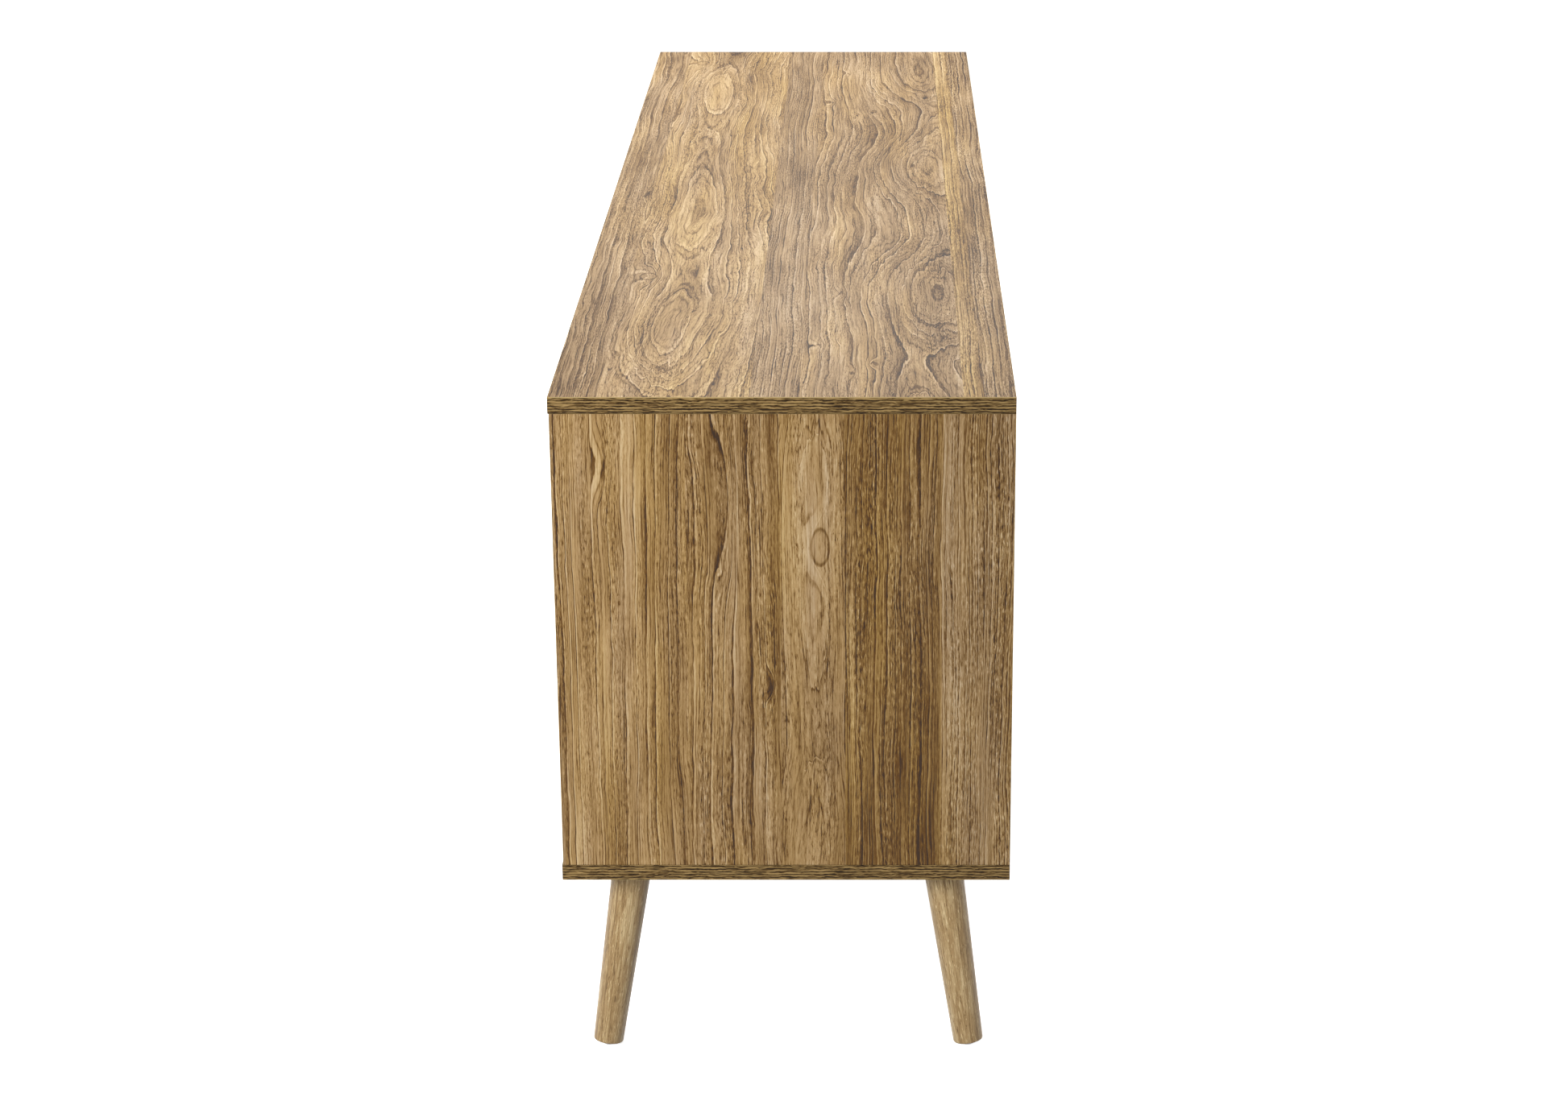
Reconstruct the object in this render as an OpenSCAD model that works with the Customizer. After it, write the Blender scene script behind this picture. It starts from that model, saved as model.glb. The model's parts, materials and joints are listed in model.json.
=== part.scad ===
// Sideboard buffet: a low cabinet on splayed round legs, with two hinged doors
// and a middle bank of three drawers, built from boards, cam fittings and dowels.
// X runs along the cabinet, the front faces -Y, and Z is up. The origin is on the
// floor, at the centre of the space that the closed piece takes up.

/* [Cabinet] */
// Length of the top and bottom panels
case_l = 1600; // [1500:10:1700]
// Depth of the top and bottom panels
case_d = 400; // [390:5:450]
// Height of the cabinet without its legs
case_h = 450; // [430:5:500]
// Thickness of the panels, doors, shelves and drawer fronts
panel_t = 15; // [15:1:18]
// Step from the front edge of the top back to the sides, doors and drawers
front_step = 1; // [0:0.5:3]
// Thickness of the back panels
back_t = 4; // [3:0.5:5]
// Distance from the rear edge of the top to the back panels
back_inset = 8; // [6:1:12]

/* [Doors] */
// Gap around every door and drawer front
gap = 2.5; // [2.5:0.5:3.5]
// Distance from a door's hinge edge to its pivot axis
pivot_in = 16; // [16:1:20]
// Radius of the steel pivot pins
pivot_r = 2.5; // [2:0.5:3]
// How far the round knobs stand out from the doors and drawers
knob_out = 20; // [16:1:24]
// Radius of the knobs at their widest
knob_r = 14; // [12:1:16]

/* [Drawers] */
// Clear width of the bay that holds the drawers
drawer_bay_w = 540; // [500:10:580]
// Depth of the drawer boxes behind their fronts
box_d = 350; // [320:5:350]
// Height of the drawer sides
box_h = 100; // [90:5:105]
// Thickness of the drawer sides and backs
box_t = 12; // [12:1:15]
// Thickness of the drawer bottoms
box_bottom_t = 4; // [3:0.5:5]

/* [Shelves] */
// Distance from the door faces back to the front edge of a shelf
shelf_back = 40; // [30:5:80]
// Pitch of the holes for the shelf pins
pin_pitch = 32; // [25:1:32]

/* [Legs] */
// Height of the cabinet's underside above the floor
leg_h = 176; // [150:2:200]
// Outward tilt of the corner legs, in degrees
leg_tilt = 11.7; // [4:0.1:14]
// Radius of a leg at its top
leg_top_r = 17.8; // [16:0.1:20]
// Radius of a leg at its foot
leg_foot_r = 13.4; // [12:0.1:15]
// Distance from the cabinet's ends to the tops of the corner legs
leg_in_x = 50; // [45:1:80]
// Distance from the cabinet's front and back to the tops of the corner legs
leg_in_y = 60; // [50:1:80]

/* [Hidden] */

$fn = 48;
slip = 0.05;        // radial clearance of a pin or dowel in its hole
through = 1;        // how far a cut runs past the face that it opens

// Levels of the cabinet, from the floor up
z_under = leg_h;
z_floor = z_under + panel_t;
z_top = z_under + case_h;
z_roof = z_top - panel_t;
inner_h = z_roof - z_floor;

// Planes of the cabinet, from front to back
front_y = (knob_out - front_step - case_d) / 2;
rear_y = front_y + case_d;
mid_y = front_y + case_d / 2;
face_y = front_y + front_step;
box_y = face_y + panel_t;
back_y1 = rear_y - back_inset;
back_y0 = back_y1 - back_t;
groove_in = 6;
strip_t = 1;        // thickness of the strips that join the back panels
strip_w = 14;

// Half widths of the cabinet, from the middle out
divider_in = drawer_bay_w / 2;
divider_out = divider_in + panel_t;
inner_x = case_l / 2 - panel_t;

// Fittings that join the uprights to the top and bottom panels
cam_r = 7.5;
cam_depth = 12.5;
cam_in = 34;        // from the end of an upright to the middle of its cam
bolt_r = 3;
bolt_hole_r = 4;
bolt_bite = 11;
dowel_r = 4;
dowel_bite = 12;
dowel_l = 30;
screw_r = 1.75;     // countersunk chipboard screws
screw_l = 15;
cam_ys = [front_y + 50, rear_y - 50];
dowel_ys = [front_y + 110, rear_y - 110];

// Uprights as [x of the middle, side that the cams face]
uprights = [
    [-(inner_x + panel_t / 2), 1], [-(divider_in + panel_t / 2), -1],
    [divider_in + panel_t / 2, 1], [inner_x + panel_t / 2, -1]
];

// Doors
door_h = inner_h - 2 * gap;
door_x0 = -inner_x + gap;          // hinge edge of the left door
door_x1 = -divider_out - gap;      // free edge of the left door
pivot_x = door_x0 + pivot_in;
pivot_y = face_y + panel_t / 2;
pivot_z = [z_floor, z_roof];
pin_bite = 10;
bush_r = 4.5;
bush_l = 13;
knob_in = 36;                      // from a door's free edge to its knob
knob_screw_r = 2;
strike_t = 1.2;
strike_r = 7;
strike_pin_r = 1.5;
strike_pin_l = 8;
catch_h = 16;
catch_w = 26;
catch_d = 14;
catch_ear = 11;
catch_ear_t = 3;
catch_x = door_x1 - 48;
catch_y = box_y + strike_t + 0.3;

// Drawers
front_h = (inner_h - 4 * gap) / 3;
front_w = drawer_bay_w - 2 * gap;
box_lift = 14;                     // from the bottom of a front to its drawer sides
box_in = front_w / 2 - box_t;      // half the inner width of a drawer
front_lap = 7;                     // how far the sides are let into a drawer front
back_lap = 4;                      // how far a drawer back is let into the sides
back_gap = 6;                      // from a drawer back to the rear ends of the sides
bottom_lift = 8;
bottom_in = 5;                     // depth of the grooves for the drawer bottoms
rail_h = 16;
rail_play = 0.3;
rail_groove = 7;
rail_stop = 10;                    // from a front to the closed ends of the rail grooves
rail_w = gap + rail_groove - 0.5;
rail_screw_ys = [60, 270];

// Shelves
shelf_z = (z_floor + z_roof - panel_t) / 2;
shelf_y0 = face_y + shelf_back;
shelf_y1 = back_y0 - 2;
pin_r = 2.5;
pin_deep = 8;
peg_r = 3.2;
peg_l = 9;
pin_ys = [shelf_y0 + 35, shelf_y1 - 45];

// Legs, plates and glides
leg_in_z = 9;                      // from the cabinet to a leg's top, along its axis
plate_t = 2.5;
plate_w = 60;
plate_screw_in = 22;
hanger_r = 4;
hanger_deep = 34;
glide_r = 9;
glide_t = 4;
dome_r = (glide_r * glide_r + glide_t * glide_t) / (2 * glide_t);
nail_r = 1.2;
nail_l = 14;
foot_z = dome_r - (dome_r - glide_t) * cos(leg_tilt);
leg_end = (leg_h - foot_z) / cos(leg_tilt);
corners = [[-1, -1], [1, -1], [-1, 1], [1, 1]];

// Colours
board = [0.66, 0.52, 0.35];
solid_wood = [0.64, 0.50, 0.33];
hardboard = [0.55, 0.42, 0.29];
box_board = [0.72, 0.60, 0.44];
steel = [0.70, 0.71, 0.72];
zinc = [0.60, 0.61, 0.62];
nylon = [0.92, 0.91, 0.88];
dowel_wood = [0.82, 0.70, 0.50];

function arc(cx, cy, r, from, to, steps = 6) =
    [for (i = [0 : steps]) let (a = from + (to - from) * i / steps)
        [cx + r * cos(a), cy + r * sin(a)]];

// ---- Helpers ----

// A block between two values on each axis
module slab(x, y, z) {
    translate([x[0], y[0], z[0]])
        cube([x[1] - x[0], y[1] - y[0], z[1] - z[0]]);
}

// Draws its children for the left side, or mirrored for the right side
module on_side(side) {
    mirror([side > 0 ? 1 : 0, 0, 0]) children();
}

// A countersunk screw with its head at z = 0 and its point downwards
module panel_screw() {
    translate([0, 0, -screw_l]) cylinder(r = screw_r, h = screw_l);
    translate([0, 0, -screw_r]) cylinder(r1 = screw_r, r2 = 2 * screw_r, h = screw_r);
}

// The hole that a countersunk screw sits in
module panel_screw_hole() {
    translate([0, 0, -screw_l - 0.5]) cylinder(r = screw_r + slip, h = screw_l);
    translate([0, 0, -screw_r - slip])
        cylinder(r1 = screw_r + slip, r2 = 2 * screw_r + slip, h = screw_r + slip);
    cylinder(r = 2 * screw_r + slip, h = through);
}

// Places its children at each cam of one upright: z points out of the board's
// face and y towards the end of the board
module at_cams(upright) {
    x = upright[0];
    f = upright[1];
    for (y = cam_ys, e = [-1, 1])
        multmatrix([
            [0, 0, f, x + f * panel_t / 2],
            [e * f, 0, 0, y],
            [0, e, 0, e > 0 ? z_roof - cam_in : z_floor + cam_in],
            [0, 0, 0, 1]
        ]) children();
}

// Places its children at each dowel of one upright: z points out of the board's end
module at_dowels(upright) {
    for (y = dowel_ys, e = [-1, 1])
        translate([upright[0], y, e > 0 ? z_roof : z_floor])
            rotate([e > 0 ? 0 : 180, 0, 0]) children();
}

// ---- Cabinet ----

module upright(u, y1) {
    color(board) difference() {
        slab([u[0] - panel_t / 2, u[0] + panel_t / 2], [face_y, y1], [z_floor, z_roof]);
        at_cams(u) {
            translate([0, 0, -cam_depth]) cylinder(r = cam_r + slip, h = cam_depth + through);
            translate([0, 0, -panel_t / 2]) rotate([-90, 0, 0])
                cylinder(r = bolt_hole_r, h = cam_in + through);
        }
        at_dowels(u) translate([0, 0, dowel_bite - dowel_l - 0.5])
            cylinder(r = dowel_r + slip, h = dowel_l);
        pin_holes(u);
    }
}

// Rows of shelf pin holes in the face of an upright that looks into a door bay
module pin_holes(u) {
    for (y = pin_ys, row = [-1 : 1])
        translate([u[0] + u[1] * panel_t / 2, y, shelf_z - peg_r + row * pin_pitch])
            rotate([0, -90 * u[1], 0])
                translate([0, 0, -through]) cylinder(r = pin_r + slip, h = pin_deep + 1 + through);
}

module side_panel(side) {
    u = side < 0 ? uprights[0] : uprights[3];
    color(board) difference() {
        upright(u, rear_y);
        on_side(side) slab([-inner_x - groove_in, -inner_x + through], [back_y0, back_y1],
            [z_floor - through, z_roof + through]);
    }
}

module divider(side) {
    u = side < 0 ? uprights[1] : uprights[2];
    color(board) difference() {
        upright(u, back_y0 - strip_t);
        for (i = [0 : 2]) on_side(side) at_rail_screws(i) panel_screw_hole();
    }
}

// Bores and groove shared by the top and bottom panels, cut into the face at z = 0
module panel_cuts() {
    for (u = uprights) {
        for (y = cam_ys) translate([u[0], y, -through])
            cylinder(r = bolt_r + slip, h = bolt_bite + 0.5 + through);
        for (y = dowel_ys) translate([u[0], y, -through])
            cylinder(r = dowel_r + slip, h = dowel_bite + 0.5 + through);
    }
    for (s = [-1, 1]) translate([s * pivot_x, pivot_y, -through])
        cylinder(r = pivot_r + slip, h = pin_bite + 0.5 + through);
    slab([-inner_x - groove_in, inner_x + groove_in], [back_y0, back_y1], [-through, groove_in]);
}

module top_panel() {
    color(board) difference() {
        slab([-case_l / 2, case_l / 2], [front_y, rear_y], [z_roof, z_top]);
        translate([0, 0, z_roof]) panel_cuts();
        for (side = [-1, 1]) on_side(side) at_catch_screws() panel_screw_hole();
    }
}

module bottom_panel() {
    color(board) difference() {
        slab([-case_l / 2, case_l / 2], [front_y, rear_y], [z_under, z_floor]);
        translate([0, 0, z_floor]) mirror([0, 0, 1]) panel_cuts();
        at_plate_screws() panel_screw_hole();
    }
}

// x of the ends of the back panels, which meet behind the dividers
joint_x = divider_in + panel_t / 2;
back_ends = [
    [-inner_x - groove_in + 0.2, -joint_x - strip_t / 2 - 0.1],
    [-joint_x + strip_t / 2 + 0.1, joint_x - strip_t / 2 - 0.1],
    [joint_x + strip_t / 2 + 0.1, inner_x + groove_in - 0.2]
];

module back_panel(i) {
    color(hardboard) slab(back_ends[i], [back_y0, back_y1], [z_floor - groove_in, z_roof + groove_in]);
}

// Plastic strips with an H section that join the back panels
module back_panel_strips() {
    color(nylon) for (x = [-joint_x, joint_x]) {
        slab([x - strip_t / 2, x + strip_t / 2], [back_y0 - 0.01, back_y1 + 0.01], [z_floor, z_roof]);
        for (y = [back_y0 - strip_t, back_y1])
            slab([x - strip_w / 2, x + strip_w / 2], [y, y + strip_t], [z_floor, z_roof]);
    }
}

module cam_lock() {
    difference() {
        translate([0, 0, -cam_depth]) cylinder(r = cam_r, h = cam_depth);
        translate([0, 0, -panel_t / 2]) rotate([-90, 0, 0])
            cylinder(r = bolt_hole_r, h = cam_r + through);
        for (a = [0, 90]) rotate([0, 0, a])
            translate([-4, -0.6, -2]) cube([8, 1.2, 2 + through]);
    }
}

module cam_locks() {
    color(zinc) for (u = uprights) at_cams(u) cam_lock();
}

module cam_bolts() {
    color(zinc) for (u = uprights) at_cams(u)
        translate([0, 0, -panel_t / 2]) rotate([-90, 0, 0])
            translate([0, 0, 0.5]) cylinder(r = bolt_r, h = cam_in + bolt_bite - 0.5);
}

module wood_dowels() {
    color(dowel_wood) for (u = uprights) at_dowels(u)
        translate([0, 0, dowel_bite - dowel_l]) cylinder(r = dowel_r, h = dowel_l);
}

// ---- Shelves ----

module shelf(side) {
    color(board) on_side(side)
        slab([-inner_x + 0.5, -divider_out - 0.5], [shelf_y0, shelf_y1],
            [shelf_z, shelf_z + panel_t]);
}

module shelf_pins() {
    color(steel) for (u = uprights, y = pin_ys)
        translate([u[0] + u[1] * panel_t / 2, y, shelf_z - peg_r])
            rotate([0, 90 * u[1], 0]) {
                translate([0, 0, -pin_deep]) cylinder(r = pin_r, h = pin_deep + 0.01);
                cylinder(r = peg_r, h = peg_l);
            }
}

// ---- Doors ----

module door(side) {
    color(board) on_side(side) difference() {
        slab([door_x0, door_x1], [face_y, box_y], [z_floor + gap, z_roof - gap]);
        at_door_bushes() translate([0, 0, -through])
            cylinder(r = bush_r, h = bush_l + through);
        at_door_knob() translate([0, 0, -panel_t - through])
            cylinder(r = knob_screw_r + 0.2, h = panel_t + 2 * through);
        at_strike() cylinder(r = strike_pin_r + slip, h = strike_pin_l + 0.5);
    }
}

// Places its children at the ends of the left door's pivot axis: z points into the door
module at_door_bushes() {
    translate([pivot_x, pivot_y, z_floor + gap]) children();
    translate([pivot_x, pivot_y, z_roof - gap]) mirror([0, 0, 1]) children();
}

module door_bushes(side) {
    color(nylon) on_side(side) at_door_bushes() difference() {
        cylinder(r = bush_r, h = bush_l);
        translate([0, 0, -through]) cylinder(r = pivot_r + slip, h = bush_l + 2 * through);
    }
}

// Steel pins in the cabinet that the doors turn on, each with a collar under the door
module pivot_pins() {
    color(steel) for (side = [-1, 1], top = [0, 1])
        on_side(side) translate([pivot_x, pivot_y, pivot_z[top]]) mirror([0, 0, top]) {
            translate([0, 0, -pin_bite]) cylinder(r = pivot_r, h = pin_bite + gap + bush_l - 1);
            cylinder(r = 6, h = gap - 0.1);
        }
}

// Places its children on the left door at its knob: z points out of the door's face
module at_door_knob() {
    translate([door_x1 - knob_in, face_y, (z_floor + z_roof) / 2])
        rotate([90, 0, 0]) children();
}

module knob() {
    color(solid_wood) difference() {
        rotate_extrude() polygon(concat(
            [[0, 0], [8, 0]],
            arc(12.5, knob_out * 0.42, 7, 230, 160),
            arc(knob_r - 3, knob_out - 4.5, 3, -60, 60),
            [[knob_r - 6, knob_out - 0.6], [0, knob_out]]
        ));
        translate([0, 0, -through]) cylinder(r = knob_screw_r + slip, h = 12 + through);
    }
}

// The machine screw that holds a knob: it starts behind a front of thickness panel_t
module knob_screw() {
    color(zinc) {
        translate([0, 0, -panel_t - 0.01]) cylinder(r = knob_screw_r, h = panel_t + 11);
        translate([0, 0, -panel_t - 2.2]) cylinder(r1 = 2.8, r2 = 4, h = 2.2);
    }
}

module door_knob(side) {
    on_side(side) at_door_knob() knob();
}

module door_knob_screw(side) {
    on_side(side) at_door_knob() knob_screw();
}

// Places its children at the left door's strike disc: z points forwards into the door
module at_strike() {
    translate([catch_x, box_y, z_roof - catch_h / 2]) rotate([90, 0, 0]) children();
}

// A steel disc with a pin that is pressed into the back of the door
module door_strike(side) {
    color(steel) on_side(side) at_strike() {
        translate([0, 0, -strike_t]) cylinder(r = strike_r, h = strike_t);
        cylinder(r = strike_pin_r, h = strike_pin_l);
    }
}

// Magnetic catches under the top: a housing with a magnet that faces the strike disc
module magnetic_catches() {
    color(nylon) for (side = [-1, 1]) on_side(side) difference() {
        union() {
            slab([catch_x - catch_w / 2, catch_x + catch_w / 2], [catch_y + 1, catch_y + catch_d],
                [z_roof - catch_h, z_roof]);
            slab([catch_x - catch_w / 2 - catch_ear, catch_x + catch_w / 2 + catch_ear],
                [catch_y + 1, catch_y + catch_d], [z_roof - catch_ear_t, z_roof]);
            translate([catch_x, catch_y, z_roof - catch_h / 2]) rotate([-90, 0, 0])
                cylinder(r = strike_r - 1, h = 2);
        }
        at_catch_screws() panel_screw_hole();
    }
}

// Places its children at the screws of the left magnetic catch: z points downwards
module at_catch_screws() {
    for (s = [-1, 1])
        translate([catch_x + s * (catch_w + catch_ear) / 2, catch_y + 1 + (catch_d - 1) / 2,
            z_roof - catch_ear_t]) rotate([180, 0, 0]) children();
}

// ---- Drawers: 0 is the lowest, 2 the highest ----

function front_z(i) = z_floor + gap + i * (front_h + gap);
function box_z(i) = front_z(i) + box_lift;
function rail_z(i) = box_z(i) + box_h / 2;
function bottom_z(i) = box_z(i) + bottom_lift;

module at_drawer_knob(i) {
    translate([0, face_y, front_z(i) + front_h / 2]) rotate([90, 0, 0]) children();
}

module drawer_bottom(i) {
    color(hardboard) slab([-box_in - bottom_in, box_in + bottom_in],
        [box_y - bottom_in, box_y + box_d], [bottom_z(i), bottom_z(i) + box_bottom_t]);
}

module drawer_front(i) {
    color(board) difference() {
        slab([-front_w / 2, front_w / 2], [face_y, box_y], [front_z(i), front_z(i) + front_h]);
        drawer_bottom(i);
        for (side = [-1, 1]) drawer_side_blank(i, side);
        at_drawer_knob(i) translate([0, 0, -panel_t - through])
            cylinder(r = knob_screw_r + 0.2, h = panel_t + 2 * through);
    }
}

// A drawer side before its grooves are cut
module drawer_side_blank(i, side) {
    on_side(side) slab([-front_w / 2, -box_in], [box_y - front_lap, box_y + box_d],
        [box_z(i), box_z(i) + box_h]);
}

module drawer_side(i, side) {
    color(box_board) difference() {
        drawer_side_blank(i, side);
        drawer_bottom(i);
        drawer_back(i);
        on_side(side) slab([-front_w / 2 - through, -front_w / 2 + rail_groove],
            [box_y + rail_stop, box_y + box_d + through],
            [rail_z(i) - rail_h / 2 - rail_play, rail_z(i) + rail_h / 2 + 0.1]);
    }
}

module drawer_back(i) {
    y = box_y + box_d - back_gap;
    color(box_board) slab([-box_in - back_lap, box_in + back_lap], [y - box_t, y],
        [bottom_z(i) + box_bottom_t, box_z(i) + box_h]);
}

module drawer_knob(i) {
    at_drawer_knob(i) knob();
}

module drawer_knob_screw(i) {
    at_drawer_knob(i) knob_screw();
}

// Places its children at the screws of one drawer's left rail: z points into the drawer
module at_rail_screws(i) {
    for (y = rail_screw_ys)
        translate([-divider_in + rail_w, box_y + y, rail_z(i)]) rotate([0, 90, 0]) children();
}

module drawer_rails() {
    color(solid_wood) for (i = [0 : 2], side = [-1, 1]) on_side(side) difference() {
        slab([-divider_in, -divider_in + rail_w], [box_y + rail_stop + 0.1, box_y + box_d],
            [rail_z(i) - rail_h / 2, rail_z(i) + rail_h / 2]);
        at_rail_screws(i) panel_screw_hole();
    }
}

// ---- Legs ----

// Places its children at the top of a corner leg: z runs down the leg's axis
module at_leg(corner) {
    translate([corner[0] * (case_l / 2 - leg_in_x), mid_y + corner[1] * (case_d / 2 - leg_in_y), z_under])
        rotate([0, 0, atan2(corner[1], corner[0])]) rotate([0, 180 - leg_tilt, 0]) children();
}

// The same for the upright leg under the middle of the cabinet
module at_centre_leg() {
    translate([0, mid_y, z_under]) rotate([0, 180, 0]) children();
}

// A turned leg along z, from its plate to its foot, which stands at length end
module turned_leg(end) {
    soft = 2;        // radius of the eased edges
    slope = atan((leg_top_r - leg_foot_r) / (end - leg_in_z));
    color(solid_wood) difference() {
        rotate_extrude() polygon(concat(
            [[0, leg_in_z]],
            arc(leg_top_r - 1, leg_in_z + 1, 1, -90, slope, 3),
            arc(leg_foot_r - soft, end - soft, soft, slope, 90),
            [[0, end]]
        ));
        cylinder(r = hanger_r + slip, h = leg_in_z + hanger_deep + 1);
        translate([0, 0, end - nail_l - 1]) cylinder(r = nail_r + slip, h = nail_l + 2);
    }
}

module leg(corner) {
    at_leg(corner) turned_leg(leg_end);
}

module leg_centre() {
    at_centre_leg() turned_leg(leg_h - glide_t);
}

// Flat steel plates under the cabinet with a boss that sets the tilt of each leg
module leg_plates() {
    color(zinc) {
        for (c = corners) plate(c);
        difference() {
            union() {
                slab([-plate_w / 2, plate_w / 2], [mid_y - plate_w / 2, mid_y + plate_w / 2],
                    [z_under - plate_t, z_under]);
                at_centre_leg() cylinder(r = 15, h = leg_in_z);
            }
            at_centre_leg() translate([0, 0, -through]) cylinder(r = hanger_r + slip, h = 20);
            at_plate_screws() panel_screw_hole();
        }
    }
}

module plate(corner) {
    x = corner[0] * (case_l / 2 - leg_in_x);
    y = mid_y + corner[1] * (case_d / 2 - leg_in_y);
    difference() {
        union() {
            slab([x - plate_w / 2, x + plate_w / 2], [y - plate_w / 2, y + plate_w / 2],
                [z_under - plate_t, z_under]);
            intersection() {
                at_leg(corner) translate([0, 0, -10]) cylinder(r = 15, h = leg_in_z + 10);
                slab([x - plate_w, x + plate_w], [y - plate_w, y + plate_w], [z_under - 40, z_under]);
            }
        }
        at_leg(corner) translate([0, 0, -10]) cylinder(r = hanger_r + slip, h = 30);
        at_plate_screws() panel_screw_hole();
    }
}

// Places its children at the screws of the leg plates: z points down out of the plate
module at_plate_screws() {
    centres = concat([for (c = corners)
        [c[0] * (case_l / 2 - leg_in_x), mid_y + c[1] * (case_d / 2 - leg_in_y)]], [[0, mid_y]]);
    for (p = centres, sx = [-1, 1], sy = [-1, 1])
        translate([p[0] + sx * plate_screw_in, p[1] + sy * plate_screw_in, z_under - plate_t])
            rotate([180, 0, 0]) children();
}

// Hanger bolts that hold the legs to their plates
module leg_bolts() {
    color(steel) {
        for (c = corners) at_leg(c) translate([0, 0, 2])
            cylinder(r = hanger_r, h = leg_in_z + hanger_deep - 2);
        at_centre_leg() translate([0, 0, 1]) cylinder(r = hanger_r, h = leg_in_z + hanger_deep - 1);
    }
}

// Nail-on glides: domed under the tilted legs, flat under the upright one
module foot_glides() {
    color(nylon) {
        for (c = corners) at_leg(c) translate([0, 0, leg_end]) {
            intersection() {
                translate([0, 0, glide_t - dome_r]) sphere(r = dome_r);
                cylinder(r = glide_r + 1, h = glide_t + 1);
            }
            translate([0, 0, -nail_l]) cylinder(r = nail_r, h = nail_l + 0.5);
        }
        at_centre_leg() translate([0, 0, leg_h - glide_t]) {
            cylinder(r = glide_r, h = glide_t);
            translate([0, 0, -nail_l]) cylinder(r = nail_r, h = nail_l + 0.5);
        }
    }
}

// The chipboard screws of the drawer rails, magnetic catches and leg plates
module panel_screws() {
    color(zinc) {
        for (side = [-1, 1]) on_side(side) {
            for (i = [0 : 2]) at_rail_screws(i) panel_screw();
            at_catch_screws() panel_screw();
        }
        at_plate_screws() panel_screw();
    }
}

// ---- Nodes ----

top_panel();
bottom_panel();
side_panel(-1);  // side_panel_left
side_panel(1);  // side_panel_right
divider(-1);  // divider_left
divider(1);  // divider_right
back_panel(0);  // back_panel_left
back_panel(1);  // back_panel_centre
back_panel(2);  // back_panel_right
back_panel_strips();
shelf(-1);  // shelf_left
shelf(1);  // shelf_right
shelf_pins();
cam_locks();
cam_bolts();
wood_dowels();
door(-1);  // door_left
door_knob(-1);  // door_left_knob
door_knob_screw(-1);  // door_left_knob_screw
door_bushes(-1);  // door_left_bushes
door_strike(-1);  // door_left_strike
door(1);  // door_right
door_knob(1);  // door_right_knob
door_knob_screw(1);  // door_right_knob_screw
door_bushes(1);  // door_right_bushes
door_strike(1);  // door_right_strike
pivot_pins();
magnetic_catches();
drawer_front(0);  // drawer_lower_front
drawer_side(0, -1);  // drawer_lower_side_left
drawer_side(0, 1);  // drawer_lower_side_right
drawer_back(0);  // drawer_lower_back
drawer_bottom(0);  // drawer_lower_bottom
drawer_knob(0);  // drawer_lower_knob
drawer_knob_screw(0);  // drawer_lower_knob_screw
drawer_front(1);  // drawer_middle_front
drawer_side(1, -1);  // drawer_middle_side_left
drawer_side(1, 1);  // drawer_middle_side_right
drawer_back(1);  // drawer_middle_back
drawer_bottom(1);  // drawer_middle_bottom
drawer_knob(1);  // drawer_middle_knob
drawer_knob_screw(1);  // drawer_middle_knob_screw
drawer_front(2);  // drawer_upper_front
drawer_side(2, -1);  // drawer_upper_side_left
drawer_side(2, 1);  // drawer_upper_side_right
drawer_back(2);  // drawer_upper_back
drawer_bottom(2);  // drawer_upper_bottom
drawer_knob(2);  // drawer_upper_knob
drawer_knob_screw(2);  // drawer_upper_knob_screw
drawer_rails();
leg(corners[0]);  // leg_front_left
leg(corners[1]);  // leg_front_right
leg(corners[2]);  // leg_back_left
leg(corners[3]);  // leg_back_right
leg_centre();
leg_plates();
leg_bolts();
foot_glides();
panel_screws();
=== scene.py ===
import json
import math

import bmesh
import bpy
import numpy
from mathutils import Matrix, Vector

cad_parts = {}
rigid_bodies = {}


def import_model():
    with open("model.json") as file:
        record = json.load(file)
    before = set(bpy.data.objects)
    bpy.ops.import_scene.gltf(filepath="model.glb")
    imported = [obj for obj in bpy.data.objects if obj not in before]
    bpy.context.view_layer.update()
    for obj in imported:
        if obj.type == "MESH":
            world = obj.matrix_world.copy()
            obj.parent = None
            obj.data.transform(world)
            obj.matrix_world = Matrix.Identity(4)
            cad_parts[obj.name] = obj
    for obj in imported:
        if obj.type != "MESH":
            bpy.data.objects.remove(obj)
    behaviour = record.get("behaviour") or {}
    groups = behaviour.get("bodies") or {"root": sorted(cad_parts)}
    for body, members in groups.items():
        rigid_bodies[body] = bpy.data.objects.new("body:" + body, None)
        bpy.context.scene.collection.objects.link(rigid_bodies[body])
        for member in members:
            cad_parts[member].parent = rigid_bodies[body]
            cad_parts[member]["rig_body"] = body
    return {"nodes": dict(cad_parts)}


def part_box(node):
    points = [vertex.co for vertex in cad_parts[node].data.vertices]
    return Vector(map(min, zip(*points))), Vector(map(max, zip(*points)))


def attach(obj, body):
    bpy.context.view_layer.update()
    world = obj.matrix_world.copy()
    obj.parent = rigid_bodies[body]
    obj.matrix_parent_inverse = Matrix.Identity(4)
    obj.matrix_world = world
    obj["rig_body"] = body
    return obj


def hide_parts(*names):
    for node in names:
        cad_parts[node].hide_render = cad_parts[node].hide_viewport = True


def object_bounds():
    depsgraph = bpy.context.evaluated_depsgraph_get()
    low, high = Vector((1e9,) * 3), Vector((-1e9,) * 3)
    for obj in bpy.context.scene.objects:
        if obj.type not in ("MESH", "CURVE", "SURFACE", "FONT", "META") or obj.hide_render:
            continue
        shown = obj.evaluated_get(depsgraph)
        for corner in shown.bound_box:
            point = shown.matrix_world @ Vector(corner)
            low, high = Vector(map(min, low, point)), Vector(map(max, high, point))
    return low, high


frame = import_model()
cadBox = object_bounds()
low, high = cadBox
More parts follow.
